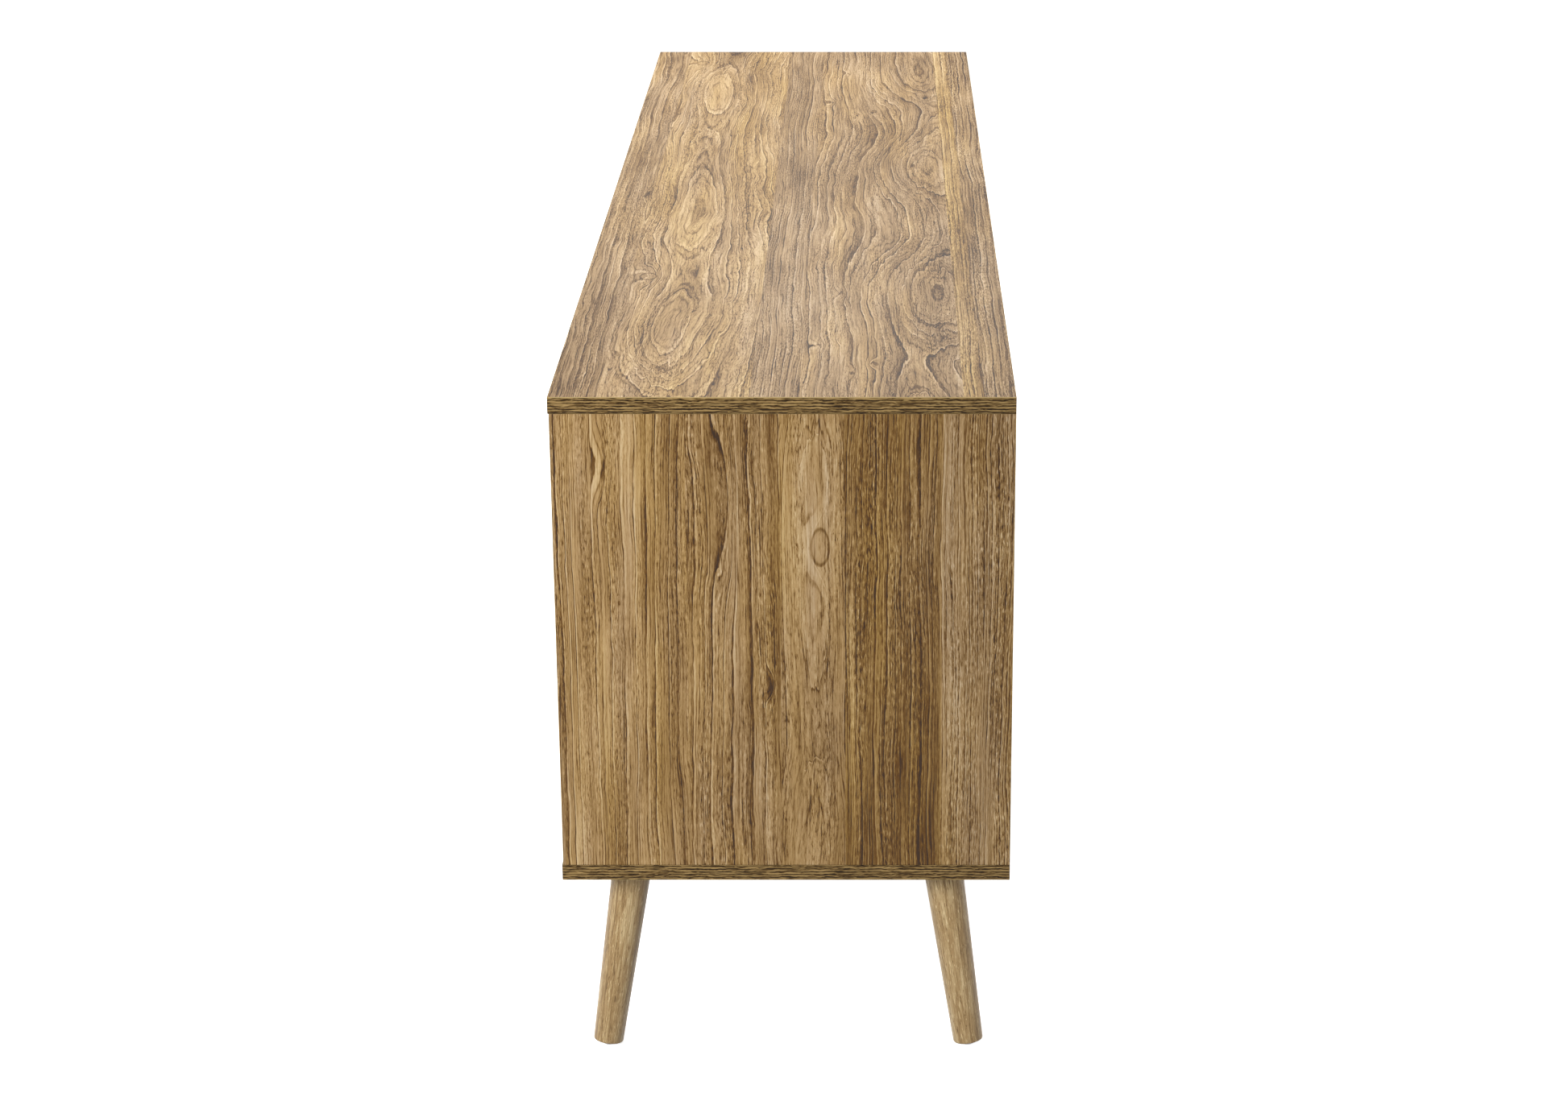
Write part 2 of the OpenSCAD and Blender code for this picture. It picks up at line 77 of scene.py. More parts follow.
topLow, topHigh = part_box("top_panel")
topMiddle = (topLow + topHigh) / 2
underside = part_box("bottom_panel")[0].z
mm = 0.001
print("frame loaded:", len(frame["nodes"]), "nodes")


viewpoint = {
    "lens": 76.1,            # mm on a 36 mm sensor
    "fromEnd": 2.7075,       # metres beyond the right-hand end
    "fromMiddle": 0.0769,    # metres behind the middle of the depth
    "aboveBase": 1.2456,     # metres above the underside of the cabinet
    "pitch": 18.99,          # degrees below level
    "shiftX": -0.0562,       # share of the picture's width
}


def placeCamera():
    data = bpy.data.cameras.new("camera")
    data.lens, data.sensor_width, data.shift_x = viewpoint["lens"], 36, viewpoint["shiftX"]
    data.clip_end = 100
    camera = bpy.data.objects.new("camera", data)
    bpy.context.scene.collection.objects.link(camera)
    camera.location = (
        high.x + viewpoint["fromEnd"],
        topMiddle.y + viewpoint["fromMiddle"],
        underside + viewpoint["aboveBase"],
    )
    camera.rotation_euler = (math.radians(90 - viewpoint["pitch"]), 0, math.radians(90))
    bpy.context.scene.camera = camera


placeCamera()
print("camera placed")


# A colour of linear light from sRGB hex or from a level of grey
def linear(shade):
    if not isinstance(shade, str):
        return (shade, shade, shade, 1)
    parts = [int(shade[i:i + 2], 16) / 255 for i in (1, 3, 5)]
    return (*[p / 12.92 if p <= 0.04045 else ((p + 0.055) / 1.055) ** 2.4 for p in parts], 1)


# Adds a node, whose kind may say what it does, such as "Math ADD": values go to its sockets in
# order or by name, a node or socket is linked, and stops are places and colours of a ramp
def addNode(tree, kind, *values, named=None, stops=(), steps=False, **settings):
    kind, *operation = kind.split()
    node = tree.nodes.new("ShaderNode" + kind)
    if operation:
        node.operation = operation[0]
    for name, value in settings.items():
        setattr(node, name, value)
    for key, value in [*enumerate(values), *(named or {}).items()]:
        if isinstance(value, bpy.types.Node):
            value = value.outputs[0]
        if isinstance(value, bpy.types.NodeSocket):
            tree.links.new(value, node.inputs[key])
        elif value is not None:
            node.inputs[key].default_value = value
    if stops:
        node.color_ramp.interpolation = "CONSTANT" if steps else "LINEAR"
    for index, (place, shade) in enumerate(stops):
        elements = node.color_ramp.elements
        element = elements[index] if index < len(elements) else elements.new(1)
        element.position = place
        element.color = shade if isinstance(shade, tuple) else linear(shade)
    return node


def newMaterial(name):
    material = bpy.data.materials.new(name)
    material.use_nodes = True
    tree = material.node_tree
    tree.nodes.clear()
    return material, tree


# Ends a material with its shader; relief is what it is embossed with, how strongly, and mm deep
def finishSurface(material, colour, roughness, relief=None, metallic=0.0, gloss=0.5):
    tree = material.node_tree
    named = {"Roughness": roughness, "Metallic": metallic, "Specular IOR Level": gloss}
    if relief:
        height, strength, depth = relief
        named["Normal"] = addNode(tree, "Bump", strength, depth * mm, named={"Height": height})
    addNode(tree, "OutputMaterial", addNode(tree, "BsdfPrincipled", colour, named=named))
    return material


# Printed paper foil, pressed on chipboard with a pore texture: the eye sees a flat print of
# planks, growth lines and knots, dulled by fine pale pores
foil = {
    "repeat": 1105,          # mm between two prints of the same figures
    "width": 900,            # mm across the grain before the print starts again
    # the print's own colours by how pale it is, from 0 to 1
    "shades": ((0.08, "#301c08"), (0.33, "#644318"), (0.5, "#94754a"), (0.66, "#b8976b"),
               (0.9, "#dcc29b")),
    "golden": "#faf3c6",     # tints of the paler and duller areas
    "grey": "#e8e9f2",
    "roughness": 0.5,
    "gloss": 0.3,            # a dull lacquer reflects less than glass does
    "relief": (0.35, 0.2),   # strength, and mm deep
    "sway": (26, 8),         # mm that growth lines wander, broad and fine
    "jag": 30,               # mm that the points of the figures reach along the grain
    "blunt": 24,             # mm, keeps the middles of the figures open
    "lineWidth": 0.8,        # mm
    "fineSpacing": 2.4,      # mm
    "uneven": 1.6,           # how much the lines bunch up, in spacings
    # patches of each pattern: mm along and across the grain, levels of detail, and how rough
    # they are; pores are drawn about twice as wide as real ones, so that they show
    "patterns": {
        "jag": (50, 7, 2, 0.5), "broadSway": (300, 90, 1, 0.5), "fineSway": (60, 22, 2, 0.5),
        "cover": (420, 90, 0, 0.5), "hue": (260, 26, 2, 0.5), "cloud": (190, 45, 2, 0.5),
        "fibre": (60, 1.05, 3, 0.62), "streak": (240, 6, 3, 0.5), "pore": (7, 0.9, 2, 0.6),
        "limed": (300, 14, 1, 0.5),
        # these count growth lines across, so that each line has patches of its own
        "lineStrength": (140, 0.37, 2, 0.5), "ringTone": (400, 0.61, 1, 0.5),
        "fineStrength": (70, 0.43, 2, 0.5),
    },
    # how dark a growth line is from its start to its end, a fine line from one to the next,
    # and a knot from its middle to its rim
    "lineProfile": ((0, 0), (0.03, 0.9), (0.17, 1), (0.25, 0.35), (0.55, 0.12), (1, 0)),
    "fineProfile": ((0, 0), (0.6, 0.05), (0.78, 1), (0.93, 0.9), (1, 0)),
    "knotProfile": ((0, 0.5), (0.3, 0.2), (0.72, 0.3), (0.84, 0.95), (0.9, 0.9), (1, 0)),
    # how much each feature brightens or darkens the print, and its usual level
    "gains": {"fibre": (0.5, 0.5), "streak": (0.3, 0.5), "cloud": (0.42, 0.5),
              "ringTone": (0.19, 0.5), "line": (-0.6, 0.1), "paintedGlint": (0.34, 0.08),
              "fineLine": (-0.24, 0.12), "pore": (-0.28, 0.2), "fleck": (0.38, 0.12),
              "hair": (-0.22, 0.12), "bud": (-0.34, 0)},
    # each plank printed on the foil: mm where it starts and where the middle of its growth
    # rings lies, mm between the rings, how deep under the face that middle lies, how much the
    # lines wander, how golden (1) or grey (0) it is, how dark its lines are, and how much its
    # pores are limed
    "planks": [
        (0, -90, 6, 0, 0.4, 0.4, 0.6, 0.5), (40, 92, 8, 46, 0.6, 0.55, 0.65, 0.25),
        (170, 420, 7, 0, 0.3, 0.3, 0.55, 0.5), (213, 338, 7.5, 46, 0.42, 0.4, 0.65, 0.3),
        (352, 500, 5, 0, 0.2, 0.75, 0.5, 0.7), (372, 500, 4, 0, 0.35, 0.4, 0.6, 0.8),
        (420, 446, 9, 50, 0.4, 0.5, 0.6, 0.5), (470, 700, 5, 0, 0.4, 0.5, 0.6, 0.6),
        (500, 760, 10, 0, 0.35, 0.55, 0.75, 0.5), (614, 900, 9, 0, 0.4, 0.5, 0.65, 0.6),
        (694, 724, 15, 50, 0.25, 0.5, 0.45, 0.4), (750, 1200, 4, 0, 0.35, 0.65, 0.7, 0.7),
        (835, 1200, 4, 0, 0.35, 0.45, 0.6, 1),
    ],
    # mm across the grain, and how pale the print is there
    "tones": [
        (0, 0.54), (38, 0.52), (40, 0.55), (100, 0.58), (145, 0.55), (160, 0.6), (169, 0.6),
        (170, 0.51), (213, 0.53), (250, 0.56), (300, 0.52), (351, 0.52), (352, 0.6), (374, 0.53),
        (419, 0.5), (420, 0.55), (500, 0.46), (520, 0.56), (550, 0.5), (572, 0.58), (598, 0.46),
        (613, 0.46), (616, 0.52), (650, 0.44), (690, 0.53), (740, 0.54), (752, 0.45), (775, 0.39),
        (834, 0.39), (836, 0.6), (880, 0.52),
    ],
    # closed figures, where the face cuts through the middle of the rings: mm along and across,
    # half length and half width
    "hearts": [
        (230, 92, 300, 70), (700, 92, 330, 80), (345, 338, 260, 90), (905, 338, 220, 80),
        (480, 446, 200, 60), (110, 724, 260, 60), (400, 724, 120, 60),
    ],
    # growth lines that bend around knots and buds: mm along and across, half length and half
    # width, and mm that the lines move
    "bends": [
        (415, 60, 60, 22, 9), (765, 40, 50, 18, 7), (165, 228, 34, 11, 6), (350, 247, 34, 12, 6),
        (105, 277, 26, 10, -6), (75, 259, 30, 9, 5), (188, 341, 30, 14, -9),
        (120, 731, 60, 22, 8), (247, 688, 26, 11, 8), (48, 545, 60, 16, 8),
        (70, 650, 120, 16, 12),
    ],
    # small dark buds: mm along and across, and radius
    "buds": [
        (525, 107, 4), (93, 47, 3), (765, 36, 5), (165, 229, 3), (350, 247, 3),
        (104, 277, 3), (78, 259, 3), (188, 341, 4), (907, 143, 3), (905, 322, 5),
        (247, 687, 5), (48, 545, 3),
    ],
    # round knots inside a dark rim: mm along and across, half length and half width
    "knots": [(415, 60, 15, 9), (120, 731, 19, 9)],
}


def drawGrain(tree, plan):
    # place on the foil in mm: x along the grain, y across it
    parts = addNode(tree, "SeparateXYZ", addNode(tree, "UVMap", uv_map="grain"))
    along = addNode(tree, "Math MULTIPLY", parts.outputs[0], 1000)
    across = addNode(tree, "Math MULTIPLY", parts.outputs[1], 1000)
    across = addNode(tree, "Math WRAP", across, plan["width"], 0)

    # what is fixed for each plank, kept in the colours of two ramps as shares of these mm
    span, widest, deepest = 2000, 20, 100
    share = addNode(tree, "Math DIVIDE", across, plan["width"])
    starts = [start / plan["width"] for start, *rest in plan["planks"]]
    rings = [(middle / span + 0.5, spacing / widest, depth / deepest, liming)
             for start, middle, spacing, depth, *rest, liming in plan["planks"]]
    looks = [(wander, warmth, darkness, 1)
             for *rest, wander, warmth, darkness, liming in plan["planks"]]
    plank = addNode(tree, "ValToRGB", share, stops=zip(starts, rings), steps=True)
    middle, spacing, depth = addNode(tree, "SeparateColor", plank).outputs
    look = addNode(tree, "ValToRGB", share, stops=zip(starts, looks), steps=True)
    wander, warmth, darkness = addNode(tree, "SeparateColor", look).outputs
    middle = addNode(tree, "Math MULTIPLY_ADD", middle, span, -span / 2)
    spacing = addNode(tree, "Math MULTIPLY", spacing, widest)
    depth = addNode(tree, "Math MULTIPLY", depth, deepest)
    seed = addNode(tree, "Math MULTIPLY", spacing, 7.3)    # sets the planks' patterns apart
    flat = addNode(tree, "CombineXYZ", along, across, seed)
    value = addNode(tree, "ValToRGB", share,
                    stops=[(start / plan["width"], tone) for start, tone in plan["tones"]])

    def patches(source, name):
        lengthMm, widthMm, detail, roughness = plan["patterns"][name]
        scaled = addNode(tree, "VectorMath MULTIPLY", source, (1 / lengthMm, 1 / widthMm, 1))
        return addNode(tree, "TexNoise", scaled, None, 1.0, detail, roughness).outputs[0]

    # distance from the middle of an oval on the print, 1 at its rim
    def distance(source, u, v, halfLength, halfWidth):
        near = addNode(tree, "VectorMath MULTIPLY_ADD", source, (1 / halfLength, 1 / halfWidth, 0),
                       (-u / halfLength, -v / halfWidth, 0))
        return addNode(tree, "VectorMath LENGTH", near).outputs["Value"]

    # a level that falls smoothly with the distance
    def fade(far, level=1.0, first=0.0, last=1.0):
        return addNode(tree, "MapRange", far, first, last, level, 0.0,
                       interpolation_type="SMOOTHSTEP")

    def gather(terms, operation):
        total = terms[0]
        for term in terms[1:]:
            total = addNode(tree, "Math " + operation, total, term)
        return total

    # the print starts again along the grain
    def onPrint(u):
        u = addNode(tree, "Math WRAP", u, plan["repeat"], 0)
        return addNode(tree, "CombineXYZ", u, across)

    # a place of its own for each growth line, which runs on along it
    def alongLine(count):
        return addNode(tree, "CombineXYZ", along, addNode(tree, "Math FLOOR", count), seed)

    # the figures have points along the grain, but knots and bends are smooth
    jag = addNode(tree, "Math SUBTRACT", along, plan["jag"])
    jag = addNode(tree, "Math MULTIPLY_ADD", patches(flat, "jag"), 2 * plan["jag"], jag)
    jagged = addNode(tree, "CombineXYZ", jag, across, seed)
    printed, smooth = onPrint(jag), onPrint(along)

    # growth rings around the middle of the log, cut at a depth that varies along the plank
    broad, fine = plan["sway"]
    sway = addNode(tree, "Math MULTIPLY_ADD", patches(flat, "broadSway"), 2 * broad, -broad - fine)
    sway = addNode(tree, "Math MULTIPLY_ADD", patches(jagged, "fineSway"), 2 * fine, sway)
    swayed = addNode(tree, "Math MULTIPLY_ADD", sway, wander, across)
    fromMiddle = addNode(tree, "Math SUBTRACT", swayed, middle)
    closeness = gather([fade(distance(printed, *oval)) for oval in plan["hearts"]], "ADD")
    # from twice the depth between the figures to little in their middles
    cover = addNode(tree, "Math MULTIPLY_ADD", closeness, -1.6, 2)
    cover = addNode(tree, "Math MULTIPLY", cover, patches(jagged, "cover"))
    cover = addNode(tree, "Math MULTIPLY", cover, depth)
    cut = addNode(tree, "CombineXYZ", fromMiddle, cover, plan["blunt"])
    radius = addNode(tree, "VectorMath LENGTH", cut).outputs["Value"]
    bends = [fade(distance(smooth, *oval), bend) for *oval, bend in plan["bends"]]
    growth = gather([radius, *bends], "ADD")

    # one growth line: a pale rim, partly print and partly a painted highlight as if the embossed
    # line caught the light, then a sharp dark line, and a tail that fades outwards
    ringed = addNode(tree, "Math DIVIDE", growth, spacing)
    uneven = addNode(tree, "TexNoise", None, ringed, 0.6, 1.0, 0.5, noise_dimensions="1D")
    ringed = addNode(tree, "Math MULTIPLY_ADD", uneven, plan["uneven"], ringed)
    step = addNode(tree, "Math FRACT", ringed)
    # the flatter the rings lie in the face, the faster this counts, so lines stay as thin
    flatness = addNode(tree, "Math DIVIDE", plan["blunt"], growth)
    steep = addNode(tree, "Math MULTIPLY_ADD", flatness, -1.0, 1.1)
    steep = addNode(tree, "Math POWER", steep, 0.5)
    spread = addNode(tree, "Math DIVIDE", spacing, steep)
    pastLine = addNode(tree, "Math MULTIPLY", step, spread)
    linePlace = alongLine(ringed)
    strength = patches(linePlace, "lineStrength")
    strength = addNode(tree, "MapRange", strength, 0.36, 0.6, 0.25, 1.0)
    strength = addNode(tree, "Math MULTIPLY", strength, darkness)
    reach = addNode(tree, "Math DIVIDE", pastLine, 5 * plan["lineWidth"])
    reach = addNode(tree, "Math MAXIMUM", reach, step)
    line = addNode(tree, "ValToRGB", reach, stops=plan["lineProfile"])
    line = addNode(tree, "Math MULTIPLY", line, strength)
    # the pale rim before each line is partly a painted highlight
    paintedGlint = addNode(tree, "MapRange", step, 0.7, 1.0)
    paintedGlint = addNode(tree, "Math MULTIPLY", paintedGlint, strength)

    # finer lines between them
    finer = addNode(tree, "Math DIVIDE", growth, plan["fineSpacing"])
    finer = addNode(tree, "Math MULTIPLY_ADD", uneven, plan["uneven"], finer)
    fineLine = addNode(tree, "ValToRGB", addNode(tree, "Math FRACT", finer),
                       stops=plan["fineProfile"])
    strength = patches(alongLine(finer), "fineStrength")
    strength = addNode(tree, "MapRange", strength, 0.4, 0.62, 0.1, 1.0)
    fineLine = addNode(tree, "Math MULTIPLY", fineLine, strength)

    # fibres and pores run along the plank and only sway with it
    flow = addNode(tree, "CombineXYZ", along, swayed, seed)
    fibre = patches(flow, "fibre")
    hair = addNode(tree, "MapRange", fibre, 0.43, 0.33)
    pores = patches(flow, "pore")
    porous = addNode(tree, "MapRange", patches(flow, "limed"), 0.36, 0.66, 0.3, 1.3)
    pore = addNode(tree, "MapRange", pores, 0.54, 0.66, 0.0, porous)
    # some pores are filled with lime
    limed = addNode(tree, "Math MULTIPLY", porous, plank.outputs["Alpha"])
    fleck = addNode(tree, "MapRange", pores, 0.42, 0.32, 0.0, limed)
    # the lines are a little broken where they cross the pores, and knots are clear of them
    knots = [distance(smooth, *oval) for oval in plan["knots"]]
    clear = addNode(tree, "MapRange", gather(knots, "MINIMUM"), 0.8, 1.0)
    dots = addNode(tree, "MapRange", pores, 0.36, 0.5, 0.75, 1.1)
    dots = addNode(tree, "Math MULTIPLY", dots, clear)
    line = addNode(tree, "Math MULTIPLY", line, dots)
    fineLine = addNode(tree, "Math MULTIPLY", fineLine, dots)

    # dark buds, and knots in a dark rim
    spots = [fade(distance(printed, u, v, 2 * radius, radius), first=0.2, last=1.1)
             for u, v, radius in plan["buds"]]
    spots += [addNode(tree, "ValToRGB", knot, stops=plan["knotProfile"]) for knot in knots]

    # how pale each point is, from 0 to 1
    features = {
        "fibre": fibre, "streak": patches(flow, "streak"), "cloud": patches(flat, "cloud"),
        "ringTone": patches(linePlace, "ringTone"), "line": line, "paintedGlint": paintedGlint,
        "fineLine": fineLine, "pore": pore, "fleck": fleck, "hair": hair,
        "bud": gather(spots, "ADD"),
    }
    for name, (gain, usual) in plan["gains"].items():
        base = addNode(tree, "Math SUBTRACT", value, usual * gain)
        value = addNode(tree, "Math MULTIPLY_ADD", features[name], gain, base)
    colour = addNode(tree, "ValToRGB", value, stops=plan["shades"])
    hue = addNode(tree, "Math SUBTRACT", warmth, 0.45)
    hue = addNode(tree, "Math MULTIPLY_ADD", patches(flat, "hue"), 0.9, hue)
    for tint, first, last in (("golden", 0.4, 0.9), ("grey", 0.5, 0.1)):
        share = addNode(tree, "MapRange", hue, first, last)
        colour = addNode(tree, "Mix", share, data_type="RGBA", blend_type="MULTIPLY",
                         named={6: colour, 7: linear(plan[tint])}).outputs[2]
    return colour, pores


def makeFoil():
    material, tree = newMaterial("walnutPrintFoil")
    colour, pores = drawGrain(tree, foil)
    return finishSurface(material, colour, foil["roughness"], (pores, *foil["relief"]),
                         gloss=foil["gloss"])


walnutFoil = makeFoil()
print("foil made:", len(walnutFoil.node_tree.nodes), "nodes")


# Plain wood of any other kind, drawn from a place in metres whose x runs along the grain
def drawWood(tree, plan, place):
    scaled = addNode(tree, "VectorMath MULTIPLY", place, (1000, 1000, 1000))

    def patches(lengthMm, widthMm, detail):
        size = addNode(tree, "VectorMath MULTIPLY", scaled,
                       (1 / lengthMm, 1 / widthMm, 1 / widthMm))
        return addNode(tree, "TexNoise", size, None, 1.0, detail, 0.6).outputs[0]

    # growth rings round a pith that lies beside the piece, seen as lines along the grain
    wander = addNode(tree, "Math MULTIPLY", patches(*plan["waves"], 2), plan["wander"])
    parts = addNode(tree, "SeparateXYZ", scaled)
    lengthless = addNode(tree, "CombineXYZ", 0.0, parts.outputs[1], parts.outputs[2])
    fromPith = addNode(tree, "VectorMath DISTANCE", lengthless,
                       (0, plan["pith"], plan["pith"] / 2)).outputs["Value"]
    ringed = addNode(tree, "Math ADD", fromPith, wander)
    ringed = addNode(tree, "Math DIVIDE", ringed, plan["rings"])
    late = addNode(tree, "ValToRGB", addNode(tree, "Math FRACT", ringed),
                   stops=((0, 0), (0.55, 0.25), (0.86, 1), (1, 0)))

    fibre = patches(*plan["fibres"], 3)
    cloud = patches(*plan["clouds"], 2)
    pores = patches(*plan["pores"], 2)
    dark = addNode(tree, "MapRange", pores, 0.6, 0.72)
    fleck = addNode(tree, "MapRange", pores, 0.4, 0.28)
    value = 0.5
    for part, gain, usual in zip((fibre, cloud, late, dark, fleck), plan["gains"],
                                 (0.5, 0.5, 0.35, 0.1, 0.1)):
        base = addNode(tree, "Math SUBTRACT", value, usual * gain)
        value = addNode(tree, "Math MULTIPLY_ADD", part, gain, base)
    colour = addNode(tree, "ValToRGB", value, stops=zip((0.1, 0.5, 0.9), plan["shades"]))
    return colour, fibre


# Printed plastic edging, ironed on and trimmed flush: darker than the faces, with wavy dark
# lines along the edge, a pale arris on the outer edge that is partly where the trimmer has passed
# and partly a painted highlight, and a thin dark line of painted shade along the other edge,
# where the edging meets the next board
edging = {
    # the arris colour is partly a painted highlight, and the darkest colour, on the inner edge, is
    # painted shade
    "shades": ("#1c0f00", "#5a4323", "#ae905d"), "arris": "#c4aa76", "jointShade": "#1c0f00",
    "arrisWidth": 0.8, "arrisFade": 0.3, "jointShadeWidth": 0.8, "jointShadeFade": 0.6,    # mm
    "cover": 0.85,                           # how much of the print they hide
    "waves": (13, 4), "wander": 3,           # mm along and across the grain
    "rings": 2.3, "pith": 90,                # mm between the rings, and to their middle
    "fibres": (20, 1.25), "clouds": (90, 6), "pores": (10, 1),
    "gains": (2, 0.5, -1, -1, 1),            # of fibres, clouds, rings, pores and pale flecks
    "roughness": 0.6, "gloss": 0.2, "relief": (0.4, 0.3),
}


def makeEdging(thickness):
    material, tree = newMaterial("printedEdging")
    place = addNode(tree, "UVMap", uv_map="grain")
    colour, fibre = drawWood(tree, edging, place)
    across = addNode(tree, "SeparateXYZ", place).outputs[1]
    rim, jointShade = thickness - edging["arrisWidth"] * mm, edging["jointShadeWidth"] * mm
    # the pale arris on the outer edge: partly trimmed plastic, partly a painted highlight
    wornEdgeHighlight = addNode(tree, "MapRange", across, rim, rim + edging["arrisFade"] * mm,
                   0.0, edging["cover"])
    # a thin dark line of painted shade along the inner edge, where the edging meets the next board
    shadedEdge = addNode(tree, "MapRange", across, jointShade - edging["jointShadeFade"] * mm, jointShade,
                    edging["cover"], 0.0)
    for share, tint in ((wornEdgeHighlight, "arris"), (shadedEdge, "jointShade")):
        colour = addNode(tree, "Mix", share, data_type="RGBA",
                         named={6: colour, 7: linear(edging[tint])}).outputs[2]
    return finishSurface(material, colour, edging["roughness"], (fibre, *edging["relief"]),
                         gloss=edging["gloss"])


# Raw chipboard, pressed and then sawn or drilled: a mat of pale and brown chips, no shine
chips = {
    "colours": ("#7a5c38", "#a5845a", "#c4a678", "#93724a"),
    "size": (8 / 3, 8 / 7),                  # mm wide and high, as they lie flat in the board
    "roughness": 0.85, "relief": (0.6, 0.4),
}


def makeChipboard():
    material, tree = newMaterial("rawChipboard")
    place = addNode(tree, "TexCoord").outputs["Object"]
    width, height = chips["size"]
    laid = addNode(tree, "VectorMath MULTIPLY", place, (1000 / width, 1000 / width, 1000 / height))
    cells = addNode(tree, "TexVoronoi", laid, None, 1.0)
    pick = addNode(tree, "SeparateColor", cells.outputs["Color"]).outputs[0]
    places = [i / len(chips["colours"]) for i in range(len(chips["colours"]))]
    colour = addNode(tree, "ValToRGB", pick, steps=True, stops=zip(places, chips["colours"]))
    return finishSurface(material, colour, chips["roughness"],
                         (cells.outputs["Distance"], *chips["relief"]))


# Rubberwood, turned on a lathe, stained and lacquered: straight fine fibres with short dark
# pores and pale flecks, and a soft satin gloss
rubberwood = {
    "shades": ("#5c411d", "#a98a5c", "#e6d0a2"),
    "waves": (70, 14), "wander": 5, "rings": 6, "pith": 34,
    "fibres": (34, 1.0), "clouds": (70, 9), "pores": (7, 0.9),
    "gains": (1.05, 0.5, -0.2, -0.45, 0.4), "roughness": 0.42, "relief": (0.5, 0.2),
}
# Beech, planed or pressed to dowels and left bare: pale and even, with small flecks
beech = {
    "shades": ("#a27a4a", "#cfa876", "#e4c79b"),
    "waves": (120, 20), "wander": 4, "rings": 5, "pith": 30,
    "fibres": (40, 0.8), "clouds": (90, 10), "pores": (4, 0.5),
    "gains": (0.5, 0.3, -0.25, -0.3, 0.2), "roughness": 0.6, "relief": (0.5, 0.2),
}
# Paper foil with a plain pale print, laid on the drawer boards: even straight grain, dull
drawerFoil = {
    "shades": ("#8f7149", "#b8986b", "#d2b78c"),
    "waves": (180, 30), "wander": 9, "rings": 7, "pith": 260,
    "fibres": (60, 1.2), "clouds": (200, 18), "pores": (6, 0.7),
    "gains": (0.55, 0.4, -0.3, -0.16, 0.12), "roughness": 0.5, "relief": (0.5, 0.1),
}


def makeWood(name, plan, node, output, **settings):
    material, tree = newMaterial(name)
    place = addNode(tree, node, **settings).outputs[output]
    colour, fibre = drawWood(tree, plan, place)
    return finishSurface(material, colour, plan["roughness"], (fibre, *plan["relief"]))


# Hardboard, felted from wood fibre and pressed: an even brown with fine darker and paler
# hairs and broad faint clouds, hardly any shine
hardboard = {
    "shades": ("#64482c", "#84623f", "#a5835a"),
    "hair": 1.4, "cloud": 60,                # mm
    "bend": (9, 6),                          # mm between the bends of the hairs, and their reach
    "roughness": 0.7, "relief": (0.35, 0.3),
}
# Nylon, moulded: creamy white, smooth, with a faint unevenness in its gloss
nylon = {"shades": ("#d5d2c8", "#eceae2"), "patch": 9, "roughness": (0.36, 0.5)}
# Ferrite, sintered and ground: nearly black, with a dull grey sheen
ferrite = {"shades": ("#1f2022", "#3a3b3d"), "patch": 0.8, "roughness": (0.5, 0.65)}
# Zinc-plated steel, bright blue passivated: cool grey with faint warm and blue drifts
zincPlate = {
    "shades": ("#b1b6bd", "#c6c8c8", "#b9bfc9"), "patch": 14,
    "streak": (6, 0.25),                     # mm, the drawing marks
    "roughness": (0.24, 0.42),
}
# Zinc, die cast and tumbled: duller and greyer, finely grained
zincCast = {
    "shades": ("#8f9294", "#a9abab", "#989b9e"), "patch": 3,
    "streak": (0.5, 0.5), "roughness": (0.42, 0.6),
}
# Nickel-plated steel, drawn and barrel polished: bright and slightly warm
nickelPlate = {
    "shades": ("#bdb8ae", "#d2cec6", "#c4c1bb"), "patch": 10,
    "streak": (4, 0.2), "roughness": (0.16, 0.3),
}


def makeHardboard():
    material, tree = newMaterial("rawHardboard")
    place = addNode(tree, "TexCoord").outputs["Object"]
    spacing, reach = hardboard["bend"]
    bent = addNode(tree, "TexNoise", place, None, 1000 / spacing, 2.0, 0.5)
    drift = addNode(tree, "VectorMath MULTIPLY_ADD", bent.outputs["Color"], (reach * mm,) * 3,
                    place)
    fine = addNode(tree, "TexNoise", drift, None, 1000 / hardboard["hair"], 3.0, 0.7).outputs[0]
    broad = addNode(tree, "TexNoise", place, None, 1000 / hardboard["cloud"], 3.0, 0.5)
    value = addNode(tree, "Math MULTIPLY_ADD", broad, 0.4, fine)
    colour = addNode(tree, "ValToRGB", value, stops=zip((0.45, 0.7, 0.95), hardboard["shades"]))
    return finishSurface(material, colour, hardboard["roughness"], (fine, *hardboard["relief"]))


# Plastics and the magnet: one colour that drifts a little, with uneven gloss
def makeMoulded(name, plan):
    material, tree = newMaterial(name)
    place = addNode(tree, "TexCoord").outputs["Object"]
    patch = addNode(tree, "TexNoise", place, None, 1000 / plan["patch"], 3.0, 0.6)
    colour = addNode(tree, "ValToRGB", patch, stops=zip((0.35, 0.65), plan["shades"]))
    roughness = addNode(tree, "MapRange", patch, 0.35, 0.65, *plan["roughness"])
    return finishSurface(material, colour, roughness)


def makeMetal(name, plan):
    material, tree = newMaterial(name)
    place = addNode(tree, "TexCoord").outputs["Object"]
    patch = addNode(tree, "TexNoise", place, None, 1000 / plan["patch"], 2.0, 0.5)
    colour = addNode(tree, "ValToRGB", patch, stops=zip((0.3, 0.5, 0.7), plan["shades"]))
    length, width = plan["streak"]
    drawn = addNode(tree, "VectorMath MULTIPLY", place,
                    (1000 / width, 1000 / width, 1000 / length))
    marks = addNode(tree, "TexNoise", drawn, None, 1.0, 3.0, 0.6).outputs[0]
    roughness = addNode(tree, "MapRange", marks, 0.3, 0.7, *plan["roughness"])
    return finishSurface(material, colour, roughness, (marks, 0.2, 0.05), metallic=1.0)


